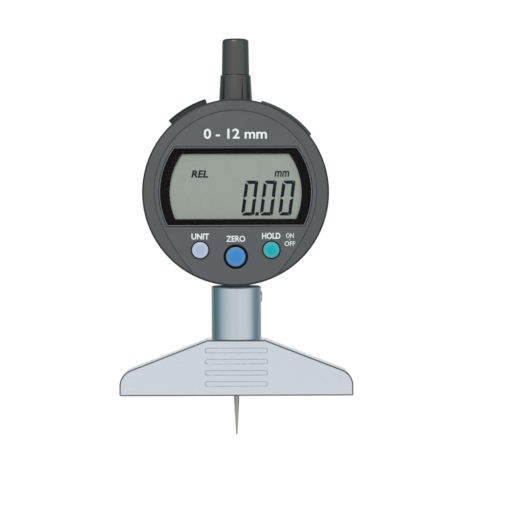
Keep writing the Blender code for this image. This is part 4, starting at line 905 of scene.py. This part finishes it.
def make_front_case():
    profile = [
        (0, FRONT_Y),
        *front_round(BODY_RADIUS, FRONT_Y, CASE_FRONT_ROUND),
        (BODY_RADIUS, SPLIT_Y),
        (CAVITY_RADIUS, SPLIT_Y),
        (CAVITY_RADIUS, PLATE_BACK_Y),
        (0, PLATE_BACK_Y),
    ]
    case = turned("case_front", profile, BODY_STEPS, CASE_AXIS)
    posts = SCREW_RADIUS + CASE_POST_WALL
    join(case, post_rounds("case_posts", posts, PLATE_BACK_Y - SEAT_GAP, SPLIT_Y))
    reach = BODY_RADIUS + OVERRUN
    floor = FRONT_Y + PANEL_GROOVE
    groove = slab("panel_groove", [shield(PANEL_GROOVE, reach)], FRONT_Y - OVERRUN, floor)
    recess = slab("panel_recess", [shield(PANEL_FIT, reach)], floor - WELD, PLATE_Y)
    low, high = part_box("lcd_panel")
    bottom, top = low.z - BODY_Z - SEAT_GAP, high.z - BODY_Z + SEAT_GAP
    display = box(low.x - SEAT_GAP, high.x + SEAT_GAP, bottom, top)
    near, far = PLATE_Y - SEAT_GAP, PLATE_BACK_Y + SEAT_GAP
    display_hole = slab("lcd_hole", [display], near, far)
    holes = [button.hole(SLIDE_GAP) for button in buttons]
    button_holes = slab("plate_button_holes", holes, near, far)
    cut(case, groove, recess, display_hole, button_holes, spot_face())

    # The case's rounded front edge is painted darker as painted shade
    def on_rim(face):
        return from_axis(face) > RIM_RADIUS and FRONT_Y + WELD < face.center.y < RIM_BACK_Y

    painted(case, "case_plastic", ("painted_shade_plastic", on_rim))
    edge_break(case, CASE_EDGE_BREAK, 2)
    dressed(case, "root", "front_case", "case_plastic")


def make_rear_case():
    low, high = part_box("rear_case")
    outer, inner = BODY_RADIUS, CAVITY_RADIUS
    ring = [(outer, high.y), (inner, high.y), (inner, low.y), (outer, low.y)]
    case = turned("case_rear", ring, BODY_STEPS, CASE_AXIS)
    join(case, post_rounds("rear_posts", SCREW_RADIUS + CASE_POST_WALL, low.y, high.y))
    below, above = BODY_Z - OVERRUN, BODY_Z + OVERRUN
    stem = pin(SLEEVE_BORE_RADIUS, below - BODY_RADIUS, above - CAVITY_RADIUS)
    collar = pin(BOSS_SPIGOT_RADIUS + SEAT_GAP, below + CAVITY_RADIUS, above + BODY_RADIUS)
    stem_hole = turned("stem_hole", stem, SMALL_STEPS)
    collar_hole = turned("collar_hole", collar, SMALL_STEPS)
    cut(case, stem_hole, collar_hole, spot_face(), *drawer_opening(), port_opening())
    edge_break(case, CASE_EDGE_BREAK, 2)
    dressed(case, "root", "rear_case", "case_plastic")


def make_back_cover():
    low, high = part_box("back_cover")
    rounding = top_round(BODY_RADIUS, high.y, COVER_ROUND)
    profile = [(0, high.y), *rounding, (BODY_RADIUS, low.y), (0, low.y)]
    cover = turned("case_back", profile, BODY_STEPS, CASE_AXIS)
    seat = low.y + COVER_SEAT
    heads = post_rounds("head_seats", SCREW_HEAD + SEAT_GAP, seat, high.y + OVERRUN)
    holes = post_rounds("cover_holes", SCREW_RADIUS + SEAT_GAP, low.y - OVERRUN, seat + SEAT_GAP)
    cut(cover, heads, holes)
    edge_break(cover, CASE_EDGE_BREAK, 2)
    dressed(cover, "root", "back_cover", "case_plastic")


def make_back_screws():
    for number, (x, z) in enumerate(post_places(), 1):
        node = f"back_screw_{number}"
        low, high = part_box(node)
        seat = high.y - SCREW_HEAD_HEIGHT
        profile = [
            (0, high.y),
            *top_round(SCREW_HEAD, high.y, SCREW_BREAK, CORNER_STEPS // 2),
            (SCREW_HEAD, seat),
            (SCREW_RADIUS, seat),
            (SCREW_RADIUS, low.y),
            (0, low.y),
        ]
        place = at(x, 0, BODY_Z + z)
        screw = turned(f"cover_screw_{number}", profile, SMALL_STEPS, place @ ALONG_Y)
        reach, half = SCREW_HEAD + OVERRUN, SCREW_SLOT_WIDTH / 2
        slot = box(-reach, reach, -half, half)
        floor = high.y - SCREW_SLOT_DEPTH
        turn = Matrix.Rotation(math.radians(SCREW_TURN * number), 4, "Y")
        cut(screw, slab("screw_slot", [slot], floor, high.y + OVERRUN, place @ turn))
        dressed(screw, "root", node, "dark_steel")


def make_face_panel():
    panel = slab("shield_panel", [shield(0, BODY_RADIUS)], FRONT_Y, PANEL_BACK_Y)
    openings = [bezel_outline(SEAT_GAP)] + [button.hole(button.ring) for button in buttons]
    cut(panel, slab("panel_holes", openings, FRONT_Y - OVERRUN, PANEL_BACK_Y + OVERRUN))
    limit = [
        (0, FRONT_Y - OVERRUN),
        (RIM_RADIUS, FRONT_Y - OVERRUN),
        *front_round(BODY_RADIUS, FRONT_Y, CASE_FRONT_ROUND),
        (BODY_RADIUS + OVERRUN, RIM_BACK_Y),
        (BODY_RADIUS + OVERRUN, PANEL_BACK_Y + OVERRUN),
        (0, PANEL_BACK_Y + OVERRUN),
    ]
    combined(panel, "INTERSECT", [turned("panel_limit", limit, BODY_STEPS, CASE_AXIS)])

    def in_ring(face):
        inside = [from_axis(face, key.x, key.z) < key.radius + key.ring for key in buttons]
        return any(inside) and abs(face.normal.y) < RING_SLOPE

    def on_foot(face):
        return from_axis(face) > RIM_RADIUS and face.center.y < RIM_BACK_Y

    edge_break(panel, PANEL_EDGE_BREAK)
    # The walls round the buttons are painted dark navy as painted shade in the gaps, and the panel's
    # foot edge takes the rim's painted shade
    painted(panel, "panel_plastic", ("gap_shade_plastic", in_ring), ("painted_shade_plastic", on_foot))
    dressed(panel, "root", "face_panel", "panel_plastic")


def make_bezel():
    low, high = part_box("window_bezel")
    bezel = slab("display_bezel", [bezel_outline(0)], low.y, high.y)
    flange = high.y - BEZEL_FLANGE
    seat = slab("window_seat", [bezel_outline(-BEZEL_LIP)], low.y - OVERRUN, flange)
    opening = lens(VIEW_RADIUS, VIEW_TOP, VIEW_BOTTOM)
    cut(bezel, seat, slab("view_hole", [opening], flange - OVERRUN, high.y + OVERRUN))
    # The bezel's front lip is painted pale grey as a painted highlight along the window's edge
    painted(bezel, "black_plastic", ("lip_highlight_plastic", lambda face: face.center.y < low.y + WELD))
    edge_break(bezel, BEZEL_BREAK, 2)
    dressed(bezel, "root", "window_bezel", "black_plastic")


def make_window():
    low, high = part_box("window")
    pane = slab("display_window", [bezel_outline(-BEZEL_LIP - SEAT_GAP)], low.y, high.y)
    edge_break(pane, BEZEL_BREAK, 2)
    dressed(pane, "root", "window", "clear_glass")


def make_button(button):
    low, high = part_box(button.name)
    shoulder = low.y + BUTTON_CROWN
    flange = high.y - BUTTON_FLANGE_THICKNESS
    top_radius = button.radius - BUTTON_ROUND
    crown = [
        (top_radius * i / CORNER_STEPS, low.y + BUTTON_CROWN * (i / CORNER_STEPS) ** 2)
        for i in range(CORNER_STEPS)
    ]
    profile = [
        *crown,
        *front_round(button.radius, shoulder, BUTTON_ROUND),
        (button.radius, flange),
        (button.radius + BUTTON_FLANGE, flange),
        (button.radius + BUTTON_FLANGE, high.y),
        (0, high.y),
    ]
    cap = turned(button.name + "_cap", profile, place=button.axis())
    # The cap's side and flange, down in the gap, are painted dark navy as painted shade
    skirt = shoulder + BUTTON_ROUND / 2
    painted(cap, button.material, ("gap_shade_plastic", lambda face: face.center.y > skirt))
    dressed(cap, button.name, button.name, button.material)


def make_gap_shade_ring(button):
    """A dark ring that fills the wider gap round a button, as painted shade in the gap."""
    inner = button.radius + SLIDE_GAP
    outer = button.radius + button.ring
    near = PLATE_Y - GAP_SHADE_THICKNESS
    profile = [(inner, PLATE_Y), (inner, near), (outer, near), (outer, PLATE_Y)]
    gap_shade_ring = turned(button.name + "_gap_shade_ring", profile, place=button.axis())
    shaded(gap_shade_ring)
    carried(gap_shade_ring, "root", "rubber", "gap_shade_plastic")


def flute_outlines():
    """The flutes on the collar's front and rear, seen from above."""
    outlines = []
    for angle, width in FLUTES:
        near, far = BOSS_TOP_RADIUS - FLUTE_DEPTH, BOSS_FOOT_RADIUS + OVERRUN
        corners = box(near, far, -width / 2, width / 2)
        for facing in (angle - 90, 90 - angle):
            turn = math.radians(facing)
            out_x, out_y = math.cos(turn), math.sin(turn)
            outlines.append([(out_x * u - out_y * v, -out_y * u - out_x * v) for u, v in corners])
    return outlines


def make_collar():
    low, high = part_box("cap_boss")
    plug_bore = PLUG_RADIUS + SEAT_GAP
    plug_floor = high.z - BOSS_PLUG_DEPTH
    profile = [
        (plug_bore, high.z),
        *top_round(BOSS_TOP_RADIUS, high.z, BOSS_BREAK),
        (BOSS_FOOT_RADIUS, BOSS_FOOT_Z),
        (BOSS_SPIGOT_RADIUS, BOSS_FOOT_Z),
        (BOSS_SPIGOT_RADIUS, low.z),
        (STEM_BORE_RADIUS, low.z),
        (STEM_BORE_RADIUS, plug_floor),
        (plug_bore, plug_floor),
    ]
    collar = turned("fluted_collar", profile)
    foot, top = BOSS_FOOT_Z + SLIDE_GAP, high.z + OVERRUN
    cut(collar, slab("flutes", flute_outlines(), foot, top, UPRIGHT))
    edge_break(collar, BEZEL_BREAK, 2)
    dressed(collar, "root", "cap_boss", "collar_plastic")


def make_dust_cap():
    low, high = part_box("dust_cap")
    foot = boss_high.z + CAP_SEAT_GAP
    roof = high.z - CAP_ROOF
    profile = [
        (0, high.z),
        *top_round(CAP_TOP_RADIUS, high.z, CAP_ROUND),
        (high.x, foot),
        (PLUG_RADIUS, foot),
        (PLUG_RADIUS, low.z),
        (CAP_BORE_RADIUS, low.z),
        (CAP_BORE_RADIUS, roof),
        (0, roof),
    ]
    cap = turned("spindle_cap", profile)
    # The cap's upward-facing crown is painted darker as painted shade against the light from above
    on_crown = ("painted_shade_plastic", lambda face: face.normal.z > CAP_CROWN_SLOPE)
    painted(cap, "collar_plastic", on_crown)
    edge_break(cap, CAP_EDGE_BREAK)
    dressed(cap, "dust_cap", "dust_cap", "collar_plastic")


def drawer_depths():
    """The tray's front and back edges along Y, round the cell."""
    near = CELL_CENTRE_DEPTH - CELL_THICKNESS / 2 - SEAT_GAP
    return near, near + CELL_THICKNESS + 2 * SEAT_GAP + DRAWER_WALL


def drawer_opening():
    """The pocket for the drawer's cover and the slot for its tray, cut into the case's side."""
    near, far = drawer_depths()
    cover_back = BODY_RADIUS + DRAWER_PROUD - DRAWER_COVER_THICKNESS - SEAT_GAP
    place = spoke(DRAWER_ANGLE)
    half_angle = DRAWER_HALF_ANGLE + math.degrees(SEAT_GAP / BODY_RADIUS)
    outline = sector(cover_back, BODY_RADIUS + OVERRUN, half_angle)
    front = near - DRAWER_COVER_MARGIN - SEAT_GAP
    back = far + DRAWER_COVER_MARGIN / 2 + SEAT_GAP
    pocket = slab("drawer_pocket", [outline], front, back, place)
    half = CELL_RADIUS + SEAT_GAP + DRAWER_WALL + SEAT_GAP
    outline = box(CELL_CENTRE_RADIUS, BODY_RADIUS, -half, half)
    return pocket, slab("drawer_slot", [outline], near - SEAT_GAP, far + SEAT_GAP, place)


def make_battery_drawer():
    near, far = drawer_depths()
    pocket_radius = CELL_RADIUS + SEAT_GAP
    tray_half = pocket_radius + DRAWER_WALL
    outer = BODY_RADIUS + DRAWER_PROUD
    inner = outer - DRAWER_COVER_THICKNESS
    centre = (CELL_CENTRE_RADIUS, 0)
    place = spoke(DRAWER_ANGLE)
    shell = sector(inner, outer, DRAWER_HALF_ANGLE)
    front, back = near - DRAWER_COVER_MARGIN, far + DRAWER_COVER_MARGIN / 2
    cover = slab("drawer_cover", [shell], front, back, place)
    frozen(edge_break(cover, DRAWER_EDGE_ROUND, 4))
    tray_end = math.sqrt(outer**2 - tray_half**2) - DRAWER_EDGE_ROUND
    outline = arc(tray_half, 90, 270, SMALL_STEPS, centre)
    outline += [(tray_end, -tray_half), (tray_end, tray_half)]
    join(cover, slab("drawer_tray", [outline], near, far, place))
    well = circle(pocket_radius, centre, ROUND_STEPS)
    cut(cover, slab("cell_well", [well], near - OVERRUN, far - DRAWER_WALL, place))
    dressed(cover, "battery_drawer", "battery_drawer", "case_plastic", "drawer_plastic")


def port_opening():
    """The cut in the case's side that the data port looks out of."""
    inner, outer = CAVITY_RADIUS - OVERRUN, BODY_RADIUS + OVERRUN
    outline = box(inner, outer, -PORT_HALF_LENGTH, PORT_HALF_LENGTH)
    near, far = PORT_DEPTH - PORT_HALF_WIDTH, PORT_DEPTH + PORT_HALF_WIDTH
    return slab("port_hole", [outline], near, far, spoke(PORT_ANGLE))


def make_data_cover():
    skin = BODY_RADIUS + SEAT_GAP
    place = spoke(PORT_ANGLE)
    front = PORT_DEPTH - PORT_COVER_HALF_DEPTH
    shell = sector(skin, skin + PORT_COVER_THICKNESS, PORT_HALF_ANGLE)
    cover = slab("port_cover", [shell], front, PORT_DEPTH + PORT_COVER_HALF_DEPTH, place)
    frozen(edge_break(cover, PORT_COVER_ROUND, 4))
    root = skin + PORT_COVER_THICKNESS / 2
    plug = box(PLUG_REACH, root, -PLUG_HALF_LENGTH, PLUG_HALF_LENGTH)
    near, far = PORT_DEPTH - PLUG_HALF_WIDTH, PORT_DEPTH + PLUG_HALF_WIDTH
    join(cover, slab("cover_plug", [plug], near, far, place))
    floor = front + PORT_SEAM_DEPTH
    inner = skin + (PORT_COVER_THICKNESS - PORT_SEAM_WIDTH) / 2
    outer = inner + PORT_SEAM_WIDTH
    seam = sector(inner, outer, PORT_HALF_ANGLE - PORT_SEAM_END)
    cut(cover, slab("cover_seam", [seam], front - OVERRUN, floor, place))
    # The seam's floor is painted a paler rubber as a painted highlight
    painted(cover, "rubber", ("seam_highlight_rubber", lambda face: abs(face.center.y - floor) < WELD))
    dressed(cover, "data_cover", "data_cover", "rubber")


# Figures and legends


def segment_outlines():
    """The upright outlines of a digit's lit segments, from its lower left corner."""
    width, height, stroke, gap = DIGIT_WIDTH, DIGIT_HEIGHT, DIGIT_STROKE, DIGIT_GAP
    middle = height / 2
    upper_left = [
        (0, height - 0.55 * stroke - gap),
        (0.35 * stroke, height - 0.75 * stroke - gap),
        (stroke, height - stroke - gap - 0.15 * stroke),
        (stroke, middle + 0.55 * stroke),
        (0.25 * stroke, middle + gap),
        (0, middle + gap),
    ]
    upper_right = [
        (width - 0.35 * stroke, height),
        (width, height - 0.45 * stroke),
        (width, middle + gap),
        (width - 0.25 * stroke, middle + gap),
        (width - stroke, middle + 0.55 * stroke),
        (width - stroke, height - 0.9 * stroke),
    ]
    top = [
        (0.25 * stroke, height - 0.3 * stroke),
        (0.6 * stroke, height),
        (width - 0.35 * stroke - 1.6 * gap, height),
        (width - stroke - 0.4 * gap, height - stroke),
        (1.15 * stroke, height - stroke),
    ]
    upright = [top, upper_right, upper_left]
    return upright + [[(x, height - z) for x, z in outline] for outline in upright]


def slanted(outline, x, z):
    """Lean an outline to the right and set its lower left corner."""
    lean = math.tan(math.radians(DIGIT_SLANT))
    return [(x + px + lean * pz, z + pz) for px, pz in outline]


def make_figures():
    outlines = []
    for digit in range(DIGIT_COUNT):
        x = DIGIT_FIRST + DIGIT_PITCH * digit
        outlines += [slanted(outline, x, DIGIT_FOOT) for outline in segment_outlines()]
    point_x = DIGIT_FIRST + DIGIT_WIDTH + (DIGIT_PITCH - DIGIT_WIDTH - POINT_SIDE) / 2
    outlines.append(slanted(box(0, POINT_SIDE, 0, POINT_SIDE), point_x, DIGIT_FOOT))
    figures = slab("display_figures", outlines, PLATE_Y - INK_THICKNESS, PLATE_Y)
    carried(figures, "root", "display", "segment_ink")


def lettering(name, words, left, right, foot, top, lean, boldness, near):
    """Printed words that fill a box in the front plane, measured from the case's centre."""
    text = bpy.data.curves.new(name, "FONT")
    text.body = words
    text.shear = lean
    text.offset = boldness
    text.extrude = LETTER_DEPTH
    carrier = linked(name, text)
    mesh = settled_mesh(carrier)
    bpy.data.objects.remove(carrier, do_unlink=True)
    bpy.data.curves.remove(text)
    xs = [vert.co.x for vert in mesh.vertices]
    ys = [vert.co.y for vert in mesh.vertices]
    scale_x = (right - left) / (max(xs) - min(xs))
    scale_z = (top - foot) / (max(ys) - min(ys))
    for vert in mesh.vertices:
        x = left + (vert.co.x - min(xs)) * scale_x
        z = foot + (vert.co.y - min(ys)) * scale_z
        y = near if vert.co.z > 0 else near + INK_THICKNESS
        vert.co = (x, y, BODY_Z + z)
    mesh.materials.clear()
    return linked(name, mesh)


def make_lettering():
    """Small words on the display and printed legends on the panel."""
    for row in SIGNS:
        carried(lettering(*row, PLATE_Y - INK_THICKNESS), "root", "display", "segment_ink")
    printed = FRONT_Y - INK_THICKNESS
    for row in LEGENDS:
        carried(lettering(*row, printed), "root", "panel_plastic", "legend_ink")
    tick = box(TICK_X - TICK_HALF_WIDTH, TICK_X + TICK_HALF_WIDTH, TICK_BOTTOM, TICK_TOP)
    mark = slab("switch_tick", [tick], printed, FRONT_Y)
    carried(mark, "root", "panel_plastic", "legend_ink")


def finish_kept_nodes():
    """Give every node that stays as it is the material of its slot."""
    for part in frame["record"]["subparts"]:
        node = frame["nodes"][part["node"]]
        node.data.materials.clear()
        node.data.materials.append(materials[part["material_slot"]])
        smoothed(node.data)


# Studio

CAMERA_PLACE = (0.006, -0.680, 0.0660)
CAMERA_TARGET = (0.0061, 0.0, 0.05816)
CAMERA_FOCAL = 148.2
CAMERA_CLIP = 0.01
CAMERA_ROLL = -0.2
KEY_PLACE = (-0.12, -0.50, 0.50)
KEY_TARGET = (0, 0, 0.07)
KEY_SIZE = 0.4
KEY_POWER = 2.0
FLOOR_HALF = 0.06
FLOOR_PAPER = (0.9, 0.9, 0.9, 1)
FLOOR_GLOW = 1.12
FLOOR_SHADOW_SHARE = 0.15
WHITE = (1, 1, 1, 1)
DOME_TONE = (0.28, 0.31, 0.33, 1)
DOME_FOOT = 0.50
DOME_FULL = 0.85


def aimed(place, target):
    """A place with its view or its light turned to a target."""
    sight = Vector(target) - Vector(place)
    return at(*place) @ sight.to_track_quat("-Z", "Y").to_matrix().to_4x4()


def make_camera():
    camera = bpy.data.cameras.new("camera")
    camera.lens = CAMERA_FOCAL
    camera.clip_start = CAMERA_CLIP
    holder = linked("camera", camera)
    roll = Matrix.Rotation(math.radians(CAMERA_ROLL), 4, "Z")
    holder.matrix_world = aimed(CAMERA_PLACE, CAMERA_TARGET) @ roll
    bpy.context.scene.camera = holder


def make_lamp():
    light = bpy.data.lights.new("key", "AREA")
    light.size = KEY_SIZE
    light.energy = KEY_POWER
    linked("key", light).matrix_world = aimed(KEY_PLACE, KEY_TARGET)

# Angle from the front, colour, and how far metal and glass see the white there
SURROUND_STOPS = (
    (-180, 0.60, 0.62, 0.64, 1),
    (-166, 0.52, 0.54, 0.56, 1),
    (-152, 0.38, 0.43, 0.46, 0),
    (-138, 0.28, 0.35, 0.39, 0),
    (-118, 0.14, 0.22, 0.27, 0),
    (-100, 0.17, 0.28, 0.34, 0),
    (-86, 0.26, 0.40, 0.46, 0),
    (-74, 0.44, 0.58, 0.64, 0),
    (-63, 0.60, 0.70, 0.74, 0),
    (-50, 0.72, 0.79, 0.80, 0),
    (-30, 0.86, 0.90, 0.91, 0),
    (-8, 0.90, 0.94, 0.95, 0),
    (2, 0.87, 0.91, 0.93, 0),
    (14, 0.96, 0.99, 1.0, 0),
    (45, 0.94, 0.96, 0.96, 0),
    (58, 0.84, 0.90, 0.92, 0),
    (68, 0.72, 0.82, 0.86, 0),
    (78, 0.50, 0.64, 0.68, 0),
    (90, 0.30, 0.43, 0.50, 0),
    (102, 0.24, 0.34, 0.40, 0),
    (116, 0.26, 0.32, 0.38, 0),
    (138, 0.42, 0.47, 0.51, 0),
    (152, 0.46, 0.50, 0.53, 0),
    (166, 0.52, 0.54, 0.56, 1),
    (180, 0.60, 0.62, 0.64, 1),
)


def combination(tree, operation, first, second):
    return shader_node(tree, "Math", {0: first, 1: second}, operation).outputs[0]


def switched(tree, output, factor, first, second):
    """Show one shader or another by a factor."""
    mix = shader_node(tree, "MixShader", {0: factor, 1: first.outputs[0], 2: second.outputs[0]})
    shader_node(tree, output, {"Surface": mix.outputs[0]})


def make_world():
    """White behind the object, to the camera and in metal and glass; a bright front, dark flanks."""
    world = bpy.data.worlds.new("studio")
    bpy.context.scene.world = world
    world.use_nodes = True
    tree = world.node_tree
    tree.nodes.clear()
    place = shader_node(tree, "TexCoord", {}).outputs["Generated"]
    split = shader_node(tree, "SeparateXYZ", {0: place}).outputs
    ahead = combination(tree, "MULTIPLY", split["Y"], -1)
    azimuth = combination(tree, "ARCTAN2", split["X"], ahead)
    turn = {"Value": azimuth, "From Min": -math.pi, "From Max": math.pi}
    share = shader_node(tree, "MapRange", turn).outputs["Result"]
    ramp = shader_node(tree, "ValToRGB", {"Fac": share})
    stops = ramp.color_ramp.elements
    while len(stops) < len(SURROUND_STOPS):
        stops.new(0.5)
    for stop, (angle, *tone) in zip(stops, SURROUND_STOPS):
        stop.position = (angle + 180) / 360
        stop.color = tone
    height = {"Value": split["Z"], "From Min": DOME_FOOT, "From Max": DOME_FULL}
    rise = shader_node(tree, "MapRange", height)
    rise.interpolation_type = "SMOOTHSTEP"
    blend = {"Factor": rise.outputs["Result"], "A": ramp.outputs["Color"], "B": DOME_TONE}
    dome = shader_node(tree, "Mix", blend)
    surround = shader_node(tree, "Background", {"Color": dome.outputs["Result"]})
    white = shader_node(tree, "Background", {"Color": WHITE})
    rays = shader_node(tree, "LightPath", {}).outputs
    mirrored = combination(tree, "MULTIPLY", rays["Is Glossy Ray"], ramp.outputs["Alpha"])
    direct = combination(tree, "MAXIMUM", rays["Is Camera Ray"], rays["Is Transmission Ray"])
    seen = combination(tree, "MAXIMUM", direct, mirrored)
    switched(tree, "OutputWorld", seen, surround, white)


def make_floor():
    """A white floor that keeps a faint shadow."""
    bm = bmesh.new()
    bmesh.ops.create_grid(bm, x_segments=1, y_segments=1, size=FLOOR_HALF)
    floor = mesh_object("floor", bm, Matrix.Identity(4))
    material = bpy.data.materials.new("floor")
    material.use_nodes = True
    tree = material.node_tree
    tree.nodes.clear()
    paper = shader_node(tree, "BsdfDiffuse", {"Color": FLOOR_PAPER})
    glow = shader_node(tree, "Emission", {"Color": WHITE, "Strength": FLOOR_GLOW})
    mix = {0: FLOOR_SHADOW_SHARE, 1: glow.outputs[0], 2: paper.outputs[0]}
    shade = shader_node(tree, "MixShader", mix)
    rays = shader_node(tree, "LightPath", {}).outputs
    direct = combination(tree, "MAXIMUM", rays["Is Camera Ray"], rays["Is Transmission Ray"])
    seen = combination(tree, "MAXIMUM", direct, rays["Is Glossy Ray"])
    switched(tree, "OutputMaterial", seen, paper, shade)
    floor.data.materials.append(material)


finish_kept_nodes()
make_base()
make_sleeve()
make_clamp_screw()
make_needle()
make_spindle()
make_front_case()
make_rear_case()
make_back_cover()
make_back_screws()
make_face_panel()
make_bezel()
make_window()
for button in buttons:
    make_button(button)
    if button.ring > SLIDE_GAP:
        make_gap_shade_ring(button)
make_collar()
make_dust_cap()
make_battery_drawer()
make_data_cover()
make_figures()
make_lettering()
make_camera()
make_world()
make_floor()
make_lamp()
bpy.context.scene.view_settings.view_transform = "Standard"
